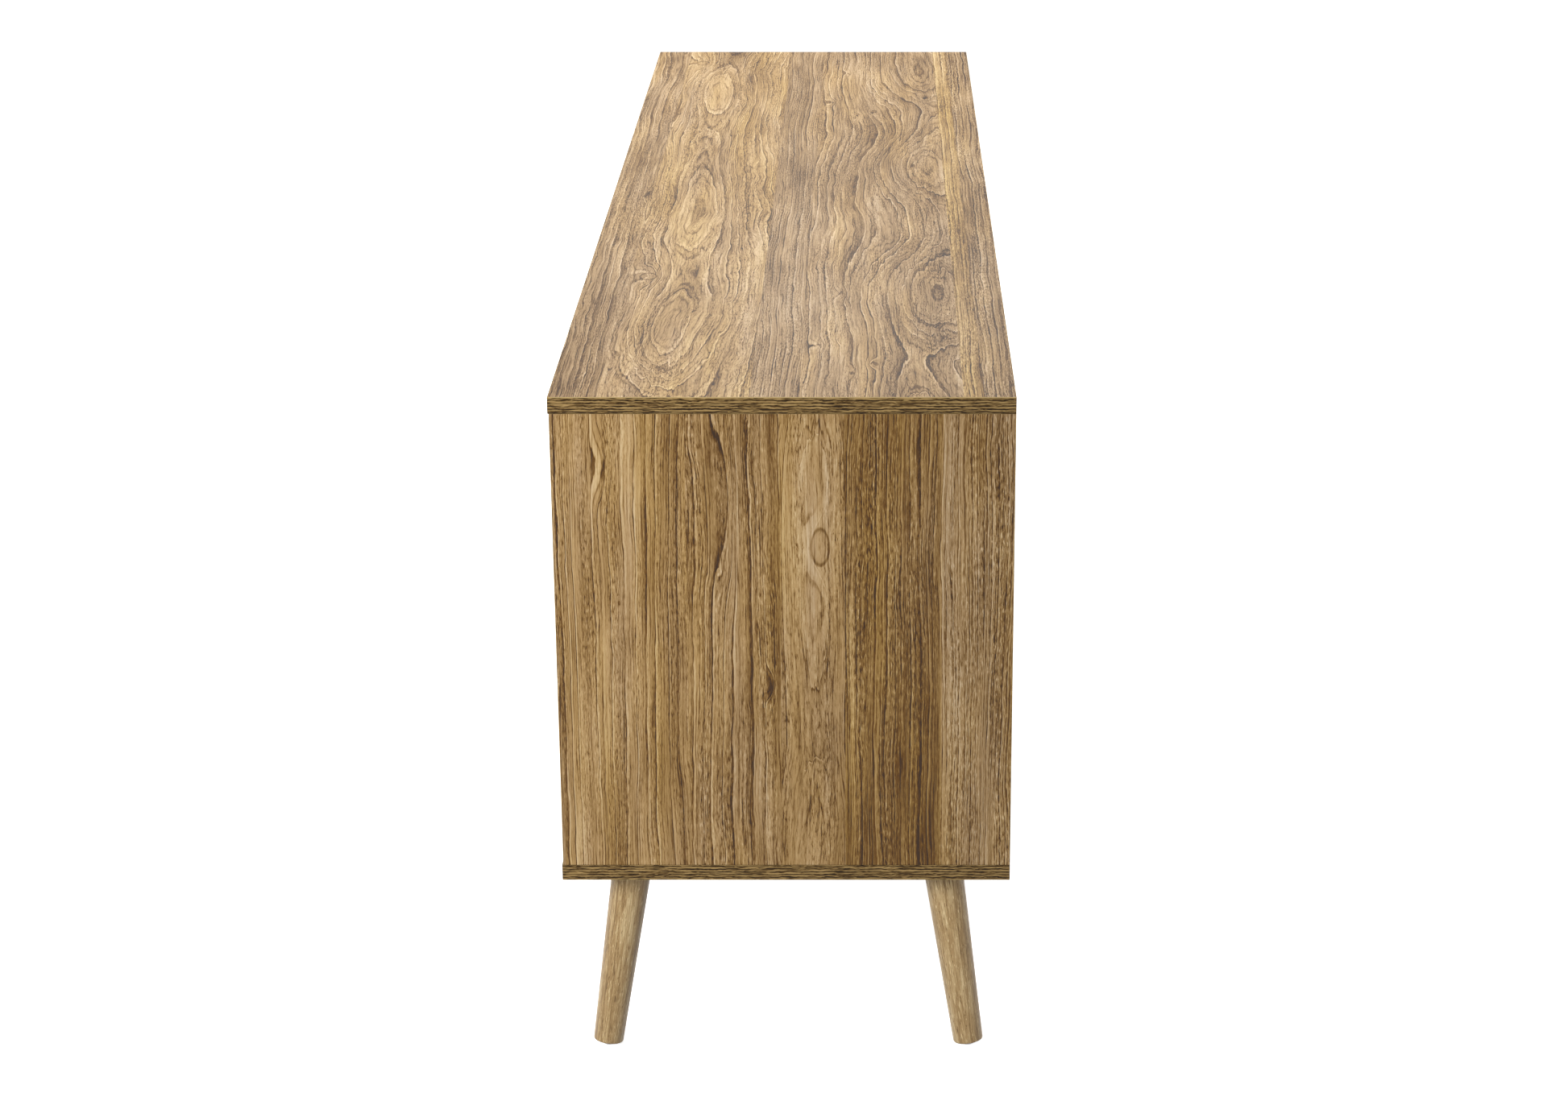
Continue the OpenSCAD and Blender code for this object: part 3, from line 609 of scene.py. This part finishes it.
printedEdging = makeEdging(topHigh.z - topLow.z)
rawChipboard = makeChipboard()
turnedWood = makeWood("turnedRubberwood", rubberwood, "Attribute", "Vector",
                      attribute_name="timber")
bareBeech = makeWood("bareBeech", beech, "Attribute", "Vector", attribute_name="timber")
drawerPrint = makeWood("drawerPrintFoil", drawerFoil, "UVMap", "UV", uv_map="grain")
rawHardboard = makeHardboard()
mouldedNylon = makeMoulded("mouldedNylon", nylon)
groundFerrite = makeMoulded("groundFerrite", ferrite)
platedZinc = makeMetal("zincPlatedSteel", zincPlate)
castZinc = makeMetal("dieCastZinc", zincCast)
platedNickel = makeMetal("nickelPlatedSteel", nickelPlate)
print("materials made:", len(bpy.data.materials))


# Makes a piece of the object from a shape in metres, standing for CAD nodes of one body
def makePiece(name, shape, materials, slot, *nodes):
    mesh = bpy.data.meshes.new(name)
    shape.to_mesh(mesh)
    shape.free()
    for material in materials:
        mesh.materials.append(material)
    mesh.set_sharp_from_angle(angle=math.radians(35))
    piece = bpy.data.objects.new(name, mesh)
    bpy.context.scene.collection.objects.link(piece)
    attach(piece, frame["nodes"][nodes[0]]["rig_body"])
    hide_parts(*nodes)


# The solid of a CAD node as a new shape, with its flat faces whole again
def copySolid(name):
    source = frame["nodes"][name].data
    shape = bmesh.new()
    corners = [shape.verts.new(v.co) for v in source.vertices]
    for polygon in source.polygons:
        shape.faces.new([corners[i] for i in polygon.vertices])
    bmesh.ops.remove_doubles(shape, verts=shape.verts, dist=1e-6)
    bmesh.ops.dissolve_limit(shape, angle_limit=math.radians(0.5), verts=shape.verts,
                             edges=shape.edges)
    for face in shape.faces:
        face.smooth = True
    return shape


# Along which axes a point lies within reach of the sides of a box
def sidesTouched(point, box, reach):
    return [i for i in range(3) if min(abs(point[i] - corner[i]) for corner in box) < reach]


# Rounds some edges of a shape, and shades it smooth
def roundEdges(shape, edges, ease, clamped):
    bmesh.ops.bevel(shape, geom=edges, offset=ease, segments=2, profile=0.5, affect="EDGES",
                    clamp_overlap=clamped)
    for face in shape.faces:
        face.smooth = True


# Rounds the outer edges of a board's own box, but not those on the ends that butt against
# another board
def easeBox(shape, box, ease, squareAxis=None):
    outer = []
    for edge in shape.edges:
        sides = sidesTouched((edge.verts[0].co + edge.verts[1].co) / 2, box, 1e-5)
        if len(sides) > 1 and squareAxis not in sides:
            outer.append(edge)
    roundEdges(shape, outer, ease, False)


# Lays the foil on a board: along and across the grain on its faces, lengthways on its edges
def layGrain(shape, box, ease, alongAxis, acrossAxis, start):
    layer = shape.loops.layers.uv.new("grain")
    lowCorner, highCorner = box
    thin = min(range(3), key=lambda i: highCorner[i] - lowCorner[i])
    along, across = "xyz".index(alongAxis[-1]), "xyz".index(acrossAxis)
    turned = alongAxis[0] == "-"
    # the dark line of painted shade goes on the side of the edging towards the middle of the
    # cabinet, where it meets the next board
    outward = lowCorner[thin] + highCorner[thin] > low[thin] + high[thin]
    shadedEdge = lowCorner[thin] if outward else highCorner[thin]
    for face in shape.faces:
        facing = max(range(3), key=lambda i: abs(face.normal[i]))
        middle, flat = face.calc_center_median(), abs(face.normal[facing]) > 0.99
        onBox = len(sidesTouched(middle, box, ease)) > 0
        if onBox and flat and facing == thin:
            face.material_index = 0
        elif onBox and (flat or len(sidesTouched(middle, box, 1.01 * ease)) > 1):
            face.material_index = 1
        else:
            face.material_index = 2
        for loop in face.loops:
            place = loop.vert.co
            if face.material_index == 0:
                u = highCorner[along] - place[along] if turned else place[along] - lowCorner[along]
                v = place[across] - lowCorner[across]
                loop[layer].uv = (u + start[0] * mm, v + start[1] * mm)
            else:
                lengthways = across if facing == along else along
                loop[layer].uv = (place[lengthways] - lowCorner[lengthways],
                                  abs(place[thin] - shadedEdge))


# Boards under foil, with banded edges and raw chipboard in their holes and grooves:
# grain axis, axis across the grain, and mm along and across the foil where each starts
boards = {
    "top_panel": ("-x", "y", (0, 0)),
    "bottom_panel": ("-x", "y", (300, 400)),
    "side_panel_right": ("-z", "y", (0, 500)),
    "side_panel_left": ("-z", "y", (400, 40)),
    "divider_left": ("-z", "y", (100, 500)),
    "divider_right": ("-z", "y", (500, 500)),
    "shelf_left": ("-x", "y", (200, 20)),
    "shelf_right": ("-x", "y", (700, 420)),
    "door_left": ("x", "z", (100, 0)),
    "door_right": ("x", "z", (100, 0)),
    "drawer_lower_front": ("x", "z", (100, 0)),
    "drawer_middle_front": ("x", "z", (100, 139)),
    "drawer_upper_front": ("x", "z", (100, 278)),
}
easedEdges = {"board": 0.5, "sheet": 0.3}    # mm


# The solid of a board or sheet with its edges eased and its foil laid
def dressSolid(name, ease, laid, squareAxis=None):
    shape, box = copySolid(name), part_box(name)
    easeBox(shape, box, ease * mm, squareAxis)
    layGrain(shape, box, ease * mm, *laid)
    return shape


# Makes a board: its finishes are those of its faces, its edges and its holes
def makeBoard(name, laid, finishes, slot, squareAxis=None):
    shape = dressSolid(name, easedEdges["board"], laid, squareAxis)
    makePiece(name + "_board", shape, finishes, slot, name)


# Makes a sheet of hardboard with foil on the one face that looks a given way
def makeSheet(name, laid, printed, facing):
    shape = dressSolid(name, easedEdges["sheet"], laid)
    for face in shape.faces:
        face.material_index = 0 if face.normal.dot(Vector(facing)) > 0.99 else 1
    makePiece(name + "_sheet", shape, (printed, rawHardboard), "hardboard", name)


for name, laid in boards.items():
    upright = name.startswith(("side_panel", "divider"))
    makeBoard(name, laid, (walnutFoil, printedEdging, rawChipboard), "laminate_board",
              2 if upright else None)
print("boards made:", len(boards))


# Back panels: foil towards the inside, and mm along and across the foil where each starts
backs = {"back_panel_left": (0, 0), "back_panel_centre": (200, 300),
         "back_panel_right": (400, 600)}
for name, start in backs.items():
    makeSheet(name, ("-z", "x", start), walnutFoil, (0, -1, 0))

# Drawer boxes: sides and backs of thin board under a plain pale foil, hardboard bottoms
drawerBoxes = {
    "heights": ("lower", "middle", "upper"),
    # grain axis, and mm across the foil where each starts
    "boards": {"side_left": ("y", 0), "side_right": ("y", 120), "back": ("x", 240)},
    "boardStep": 310, "sheetStep": 90,       # mm along the foil from one drawer to the next
    "sheetStart": 400,                       # mm across the foil
}
for i, height in enumerate(drawerBoxes["heights"]):
    for part, (grain, across) in drawerBoxes["boards"].items():
        makeBoard(f"drawer_{height}_{part}", (grain, "z", (drawerBoxes["boardStep"] * i, across)),
                  (drawerPrint, drawerPrint, rawChipboard), "drawer_board")
    start = (drawerBoxes["sheetStep"] * i, drawerBoxes["sheetStart"])
    makeSheet(f"drawer_{height}_bottom", ("x", "y", start), drawerPrint, (0, 0, 1))
print("backs and drawer boxes made")


# The separate solids of a CAD node, each as a frame whose origin is at its wider end and
# whose z runs down its axis, with its length and the radii of its two ends
def turnedSolids(name):
    shape = copySolid(name)
    found, waiting = [], set(shape.verts)
    while waiting:
        group, edge = set(), {waiting.pop()}
        while edge:
            group |= edge
            edge = {e.other_vert(v) for v in edge for e in v.link_edges} - group
        waiting -= group
        points = numpy.array([v.co for v in group])
        middle = points.mean(0)
        spread, axes = numpy.linalg.eigh(numpy.cov((points - middle).T))
        axis = axes[:, 2] if spread[2] - spread[1] > spread[1] - spread[0] else axes[:, 0]
        along = (points - middle) @ axis
        radii = numpy.linalg.norm(points - middle - numpy.outer(along, axis), axis=1)
        length = along.max() - along.min()
        ends = [radii[along < along.min() + length / 10].max(),
                radii[along > along.max() - length / 10].max()]
        if ends[1] > ends[0] + 1e-6 or (abs(ends[1] - ends[0]) < 1e-6 and axis[2] > 0):
            axis, along, ends = -axis, -along, ends[::-1]
        origin = Vector(middle + axis * along.min())
        turn = Vector((0, 0, 1)).rotation_difference(Vector(axis)).to_matrix().to_4x4()
        found.append((Matrix.Translation(origin) @ turn, length / mm, ends[0] / mm, ends[1] / mm))
    shape.free()
    return sorted(found, key=lambda solid: tuple(round(c, 4) for c in solid[0].translation))


# A turned form from (radius, distance along the axis) in mm; grooves cut it into ribs
def turnProfile(profile, steps=48, groove=0):
    shape = bmesh.new()
    rings = []
    for radius, distance in profile:
        ring = []
        for i in range(steps if radius else 1):
            angle = 2 * math.pi * i / steps
            reach = (radius - groove * (i % 2)) * mm
            ring.append(shape.verts.new((reach * math.cos(angle), reach * math.sin(angle),
                                         distance * mm)))
        rings.append(ring)
    for first, second in zip(rings, rings[1:]):
        for i in range(steps):
            j = (i + 1) % steps
            corners = [first[i % len(first)], first[j % len(first)],
                       second[j % len(second)], second[i % len(second)]]
            shape.faces.new(dict.fromkeys(corners)).smooth = True
    bmesh.ops.recalc_face_normals(shape, faces=shape.faces)
    return shape


# Cuts one form out of another, and uses both up
def cutAway(shape, cutter):
    pair = []
    for form in (shape, cutter):
        bmesh.ops.recalc_face_normals(form, faces=form.faces)
        mesh = bpy.data.meshes.new("blank")
        form.to_mesh(mesh)
        form.free()
        pair.append(bpy.data.objects.new("blank", mesh))
        bpy.context.scene.collection.objects.link(pair[-1])
    cut = pair[0].modifiers.new("recess", "BOOLEAN")
    cut.object, cut.solver = pair[1], "EXACT"
    result = bmesh.new()
    result.from_mesh(pair[0].evaluated_get(bpy.context.evaluated_depsgraph_get()).to_mesh())
    for blank in pair:
        bpy.data.objects.remove(blank)
    return result


# The tapered point of a crossed driver, in mm, pointing along z from just above z = 0
def driverPoint(width, blade, depth):
    point = bmesh.new()
    half, thin = width / 2, blade / 2
    quarter = [(half, -thin), (half, thin), (thin, thin)]
    outline = [(x * c - y * s, x * s + y * c) for c, s in ((1, 0), (0, 1), (-1, 0), (0, -1))
               for x, y in quarter]
    rings = [[point.verts.new((x * size * mm, y * size * mm, z * mm)) for x, y in outline]
             for size, z in ((1, -0.2), (0.4, depth))]
    point.faces.new(rings[0])
    point.faces.new(rings[1])
    for i, (top, tip) in enumerate(zip(*rings)):
        point.faces.new((top, tip, rings[1][i - 1], rings[0][i - 1]))
    return point


# Adds a form to a whole, and uses it up
def addForm(whole, form):
    mesh = bpy.data.meshes.new("form")
    form.to_mesh(mesh)
    form.free()
    whole.from_mesh(mesh)
    bpy.data.meshes.remove(mesh)


timberStep = (0.37, 0.05)    # metres along and across the timber from one copy to the next


# Copies one form to each place as a single shape, with its timber running along its axis
def setOut(form, places):
    whole = bmesh.new()
    for i, place in enumerate(places):
        copy = form.copy()
        timber = copy.verts.layers.float_vector.new("timber")
        for vertex in copy.verts:
            x, y, z = vertex.co
            vertex[timber] = (z + timberStep[0] * i, x + timberStep[1] * i, y)
        bmesh.ops.transform(copy, matrix=place, verts=copy.verts)
        addForm(whole, copy)
    form.free()
    return whole


def turnBy(degrees, axis):
    return Matrix.Rotation(math.radians(degrees), 4, axis)


# Points on an arc from one angle to another, in degrees
def arc(x, y, radius, start, end, steps=6):
    angles = [math.radians(start + (end - start) * i / steps) for i in range(steps + 1)]
    return [(x + radius * math.cos(a), y + radius * math.sin(a)) for a in angles]


# Ridges of a thread between two distances along the axis
def threadRings(radius, core, pitch, start, end):
    count = int((end - start) / pitch)
    return [(r, start + (i + share) * pitch) for i in range(count)
            for r, share in ((core, 0.0), (core, 0.35), (radius, 0.5), (radius, 0.62))]


# Turned legs: eased at both ends, bored for the bolt at the top
legs = {
    "nodes": ("leg_front_left", "leg_front_right", "leg_back_left", "leg_back_right",
              "leg_centre"),
    "easeTop": 1, "easeFoot": 2,             # mm
    "bore": 4.05, "boreDepth": 35,
    "turn": 40,                              # degrees that the grain of each leg is turned on
}


def makeLegs():
    for i, name in enumerate(legs["nodes"]):
        (place, length, topRadius, footRadius), = turnedSolids(name)
        slope = math.degrees(math.atan((topRadius - footRadius) / length))
        top, foot, bore, depth = (legs[key] for key in ("easeTop", "easeFoot", "bore", "boreDepth"))
        profile = [(0, depth), (bore, depth), (bore, 0)]
        profile += arc(topRadius - top, top, top, -90, slope)
        profile += arc(footRadius - foot, length - foot, foot, slope, 90)
        profile.append((0, length))
        shape = setOut(turnProfile(profile, 64), [place @ turnBy(legs["turn"] * i, "Z")])
        makePiece(name + "_turned", shape, (turnedWood,), "solid_wood", name)


makeLegs()

# Turned knobs: a flared base, a waist and a rounded face
knobs = {
    "fronts": ("door_left", "door_right", "drawer_lower", "drawer_middle", "drawer_upper"),
    "out": 20, "radius": 14, "base": 8, "rim": 3, "screwHole": 2.05, "screwDepth": 12,    # mm
    "waist": (12.5, 8.4, 7),                        # middle and radius of its hollow
    "crown": ((3.6, 1.1), (6, 0.6), (10, 0.15)),    # in from the side, and below the face
    "turn": 62,                                     # degrees
}
# Machine screws through the fronts into the knobs
knobScrews = {"radius": 2, "core": 1.65, "head": 4, "headDepth": 2.2, "plain": 6, "thread": 0.7,
              "cross": (4.2, 0.9, 1.8)}             # mm


def makeKnobs():
    out, radius, base, rim = (knobs[key] for key in ("out", "radius", "base", "rim"))
    hole, depth = knobs["screwHole"], knobs["screwDepth"]
    for i, front in enumerate(knobs["fronts"]):
        name = front + "_knob"
        lowCorner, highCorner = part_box(name)
        middle = (lowCorner + highCorner) / 2
        place = Matrix.Translation((middle.x, highCorner.y, middle.z)) @ turnBy(90, "X")
        profile = [(0, depth), (hole, depth), (hole, 0), (base - 0.4, 0), (base, 0.3)]
        profile += arc(*knobs["waist"], 230, 160, 10)
        profile += arc(radius - rim, out - 1.5 * rim, rim, -60, 60, 10)
        profile += [(radius - inward, out - below) for inward, below in knobs["crown"]]
        profile.append((0, out))
        shape = setOut(turnProfile(profile, 64), [place @ turnBy(knobs["turn"] * i, "Z")])
        makePiece(name + "_turned", shape, (turnedWood,), "solid_wood", name)
        makeKnobScrew(front + "_knob_screw")


def makeKnobScrew(name):
    (place, length, *rest), = turnedSolids(name)
    radius, core, plain = knobScrews["radius"], knobScrews["core"], knobScrews["plain"]
    profile = [(0, 0), (knobScrews["head"], 0), (radius, knobScrews["headDepth"]), (radius, plain)]
    profile += threadRings(radius, core, knobScrews["thread"], plain, length - 1)
    profile += [(radius - 0.5, length - 0.4), (0, length)]
    form = cutAway(turnProfile(profile, 24), driverPoint(*knobScrews["cross"]))
    makePiece(name + "_turned", setOut(form, [place]), (platedZinc,), "zinc", name)


makeKnobs()
print("legs and knobs turned")


# Nylon glides nailed under the feet: domed under the splayed legs, flat under the middle one
glides = {"radius": 9, "thick": 4, "ease": 0.5, "nail": 1.2, "nailLength": 14}    # mm


def makeGlides():
    radius, thick, nail = glides["radius"], glides["thick"], glides["nail"]
    dome = (radius ** 2 + thick ** 2) / (2 * thick)
    rim = math.degrees(math.acos(radius / dome))
    pin = [(0, -glides["nailLength"]), (nail, 2 * nail - glides["nailLength"]), (nail, 0)]
    domed = pin + arc(0, thick - dome, dome, rim, 90, 10)[:-1] + [(0, thick)]
    ease = glides["ease"]
    flat = pin + [(radius, 0)] + arc(radius - ease, thick - ease, ease, 0, 90) + [(0, thick)]
    feet = [turnedSolids(name)[0] for name in legs["nodes"]]
    places = [place @ Matrix.Translation((0, 0, length * mm)) for place, length, *rest in feet]
    shape = setOut(turnProfile(domed), places[:-1])
    addForm(shape, setOut(turnProfile(flat), places[-1:]))
    makePiece("foot_glides_moulded", shape, (mouldedNylon,), "nylon", "foot_glides")


makeGlides()


# Fittings turned or rolled from wire: each profile runs from the wider or upper end, in mm
def shelfPinProfile(length, wide, narrow):
    peg, ease = length - 8, 0.5
    return [(0, 0), (wide - ease, 0), (wide, ease), (wide, peg - 0.2), (wide - 0.2, peg),
            (narrow, peg), (narrow, length - ease), (narrow - ease, length), (0, length)]


def camBoltProfile(length, wide, *rest):
    neck, core, bite, pitch = wide - 1, wide - 0.8, length - 11, 1.8
    return ([(0, 0), (wide - 0.8, 0), (wide, 0.8), (wide, 2.6), (neck, 3.4), (neck, 7), (wide, 8),
             (wide, bite)] + threadRings(wide, core, pitch, bite, length - 1)
            + [(wide - 1.2, length), (0, length)])


def dowelProfile(length, wide, *rest):
    ease = 1.2
    return [(0, 0), (wide - ease, 0), (wide, ease), (wide, length - ease), (wide - ease, length),
            (0, length)]


def pivotPinProfile(length, wide, *rest):
    bite, collar, flange, ease = 10, 2.4, 6, 0.3
    return [(0, 0), (wide - ease, 0), (wide, ease), (wide, bite), (flange - ease, bite),
            (flange, bite + ease), (flange, bite + collar - ease), (flange - ease, bite + collar),
            (wide, bite + collar), (wide, length - 1), (wide - 0.9, length), (0, length)]


def strikeProfile(length, wide, narrow):
    thick, ease = 1.2, 0.25
    return [(0, 0), (wide - 1, 0), (wide - ease, 0.1), (wide, ease + 0.1), (wide, thick),
            (narrow, thick), (narrow, length - 1), (narrow - 0.8, length), (0, length)]


def hangerBoltProfile(length, wide, *rest):
    machine, plain, point = 14, 18, length - 3
    machinePitch, woodPitch = 1.25, 2.6
    return ([(0, 0), (wide - 0.6, 0)]
            + threadRings(wide, wide - 0.5, machinePitch, 0.6, machine)
            + [(wide, machine + 0.5), (wide, plain)]
            + threadRings(wide, wide - 1.1, woodPitch, plain + 0.5, point)
            + [(wide - 1.6, point), (0, length)])


def panelScrewProfile(length, wide, narrow):
    cone, point, pitch = wide - narrow, length - 2.5, 1.4
    return ([(0, 0), (wide - 0.2, 0), (wide, 0.2), (narrow, cone + 0.4)]
            + threadRings(narrow, narrow - 0.45, pitch, cone + 0.6, point)
            + [(narrow - 0.6, point), (0, length)])


fittings = {
    # node: profile, sides of the round, depth of its grooves, width, blade and depth of a
    # crossed recess, material and finish
    "shelf_pins": (shelfPinProfile, 32, 0, None, platedNickel, "steel"),
    "cam_bolts": (camBoltProfile, 24, 0, None, platedZinc, "zinc"),
    "wood_dowels": (dowelProfile, 48, 0.25, None, bareBeech, "dowel_wood"),
    "pivot_pins": (pivotPinProfile, 32, 0, None, platedNickel, "steel"),
    "door_left_strike": (strikeProfile, 40, 0, None, platedNickel, "steel"),
    "door_right_strike": (strikeProfile, 40, 0, None, platedNickel, "steel"),
    "leg_bolts": (hangerBoltProfile, 32, 0, None, platedZinc, "steel"),
    "panel_screws": (panelScrewProfile, 24, 0, (3.6, 0.8, 1.5), platedZinc, "zinc"),
}
turnedOver = ("cam_bolts", "pivot_pins")     # the lower ones point the other way


def makeFittings():
    halfway = (topHigh.z + underside) / 2
    for name, (profile, steps, groove, cross, material, finish) in fittings.items():
        solids = turnedSolids(name)
        length = solids[0][1]
        form = turnProfile(profile(*solids[0][1:]), steps, groove)
        if cross:
            form = cutAway(form, driverPoint(*cross))
        places = []
        for place, *rest in solids:
            if name in turnedOver and place.translation.z < halfway:
                place = place @ Matrix.Translation((0, 0, length * mm)) @ turnBy(180, "X")
            places.append(place)
        makePiece(name + "_turned", setOut(form, places), (material,), finish, name)


makeFittings()
print("turned fittings made:", len(fittings))


# Rounds every sharp edge of a shape
def easeSharp(shape, ease):
    edges = [e for e in shape.edges if e.is_manifold and e.calc_face_angle() > math.radians(40)]
    roundEdges(shape, edges, ease, True)


# Cast, stamped and moulded fittings: the CAD solids with their edges eased, in mm
eased = {
    "cam_locks": (0.15, castZinc, "zinc"),
    "door_left_bushes": (0.2, mouldedNylon, "nylon"),
    "door_right_bushes": (0.2, mouldedNylon, "nylon"),
    "leg_plates": (0.4, platedZinc, "zinc"),
    "back_panel_strips": (0.2, mouldedNylon, "nylon"),
}
for name, (ease, material, finish) in eased.items():
    shape = copySolid(name)
    easeSharp(shape, ease * mm)
    makePiece(name + "_eased", shape, (material,), finish, name)


# Magnetic catches: a moulded housing with a round magnet set into its nose
catches = {"magnet": 4.6, "play": 0.1, "deep": 1.6, "proud": 0.12, "ease": 0.4}    # mm


def makeCatches():
    shape = copySolid("magnetic_catches")
    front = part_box("magnetic_catches")[0].y
    strikes = [turnedSolids(f"door_{side}_strike")[0][0].translation for side in ("left", "right")]
    nose = [Matrix.Translation((place.x, front, place.z)) @ turnBy(-90, "X")
            for place in strikes]
    easeSharp(shape, catches["ease"] * mm)
    bore = catches["magnet"] + catches["play"]
    pocket = turnProfile([(0, -1), (bore, -1), (bore, catches["deep"]), (0, catches["deep"])])
    shape = cutAway(shape, setOut(pocket, nose))
    for face in shape.faces:
        face.smooth = True
    makePiece("magnetic_catch_housings", shape, (mouldedNylon,), "nylon", "magnetic_catches")
    radius, ease, proud = catches["magnet"], 0.3, -catches["proud"]
    magnet = turnProfile([(0, proud), (radius - ease, proud), (radius, proud + ease),
                          (radius, catches["deep"]), (0, catches["deep"])])
    makePiece("catch_magnets", setOut(magnet, nose), (groundFerrite,), "steel",
              "magnetic_catches")


makeCatches()


# Hardwood runners for the drawers, planed, with their edges rounded, each cut from a place of
# its own in the timber
runners = {"node": "drawer_rails", "ease": 0.8}    # mm


def makeRunners():
    shape = copySolid(runners["node"])
    easeSharp(shape, runners["ease"] * mm)
    timber = shape.verts.layers.float_vector.new("timber")
    for vertex in shape.verts:
        x, y, z = vertex.co
        vertex[timber] = (y + 3 * z + x, x, z)
    makePiece("drawer_rails_planed", shape, (bareBeech,), "solid_wood", runners["node"])


makeRunners()
print("fittings and runners made")


# A white studio: even light all round, a strong soft lamp beyond the right-hand end, weaker
# ones in front, behind and across from it, and two over the top
studio = {
    "floorSize": 40,             # metres
    "floor": "#f4f3f1",
    "floorShade": "#4c4a48",     # the floor as it lights the object, which stays dim below
    "glow": 0.8,                 # how brightly the floor itself shows
    "world": 0.3,
    "mirrored": 0.62,            # the world as glossy surfaces see it
    # place in metres, size in metres, power in watts, and whether its reflection shows
    "lamps": {
        "keyLight": ((3.4, -1.9, 2.0), 1.4, 112, False),
        "frontLight": ((-0.7, -3.2, 1.5), 1.8, 30, True),
        "fillLight": ((2.5, 2.4, 2.0), 2.0, 11, True),
        "farLight": ((-1.4, 0.05, 2.3), 1.8, 24, True),
        "topLight": ((-1.3, -0.2, 2.3), 1.4, 18, False),
        "backLight": ((-1.5, 3.0, 1.8), 2.0, 36, True),
    },
}


def makeStudio():
    scene = bpy.context.scene
    scene.view_settings.view_transform = "Standard"
    world = bpy.data.worlds.new("studio")
    scene.world = world
    world.use_nodes = True
    tree = world.node_tree
    tree.nodes.clear()
    rays = addNode(tree, "LightPath")
    strength = addNode(tree, "MapRange", rays.outputs["Is Glossy Ray"], 0.0, 1.0,
                       studio["world"], studio["mirrored"])
    strength = addNode(tree, "Math MAXIMUM", rays.outputs["Is Camera Ray"], strength)
    addNode(tree, "OutputWorld", addNode(tree, "Background", (1, 1, 1, 1), strength))

    bpy.ops.mesh.primitive_plane_add(size=studio["floorSize"], location=(0, 0, 0))
    floor = bpy.context.object
    floor.name = "floor"
    material, tree = newMaterial("paintedFloor")
    rays = addNode(tree, "LightPath")
    seen = addNode(tree, "Math MAXIMUM", rays.outputs["Is Camera Ray"],
                   rays.outputs["Is Glossy Ray"])
    shade = addNode(tree, "BsdfDiffuse", linear(studio["floorShade"]))
    lit = addNode(tree, "BsdfDiffuse", linear(studio["floor"]))
    whole = addNode(tree, "AddShader", lit, addNode(tree, "Emission", (1, 1, 1, 1), studio["glow"]))
    mix = addNode(tree, "MixShader", seen, shade, whole)
    addNode(tree, "OutputMaterial", mix)
    floor.data.materials.append(material)

    for name, (place, size, power, mirrored) in studio["lamps"].items():
        light = bpy.data.lights.new(name, "AREA")
        light.energy, light.size = power, size
        lamp = bpy.data.objects.new(name, light)
        scene.collection.objects.link(lamp)
        lamp.location, lamp.visible_glossy = place, mirrored
        lamp.rotation_euler = (Vector(place) - topMiddle).to_track_quat("Z", "Y").to_euler()


makeStudio()
print("studio lit")
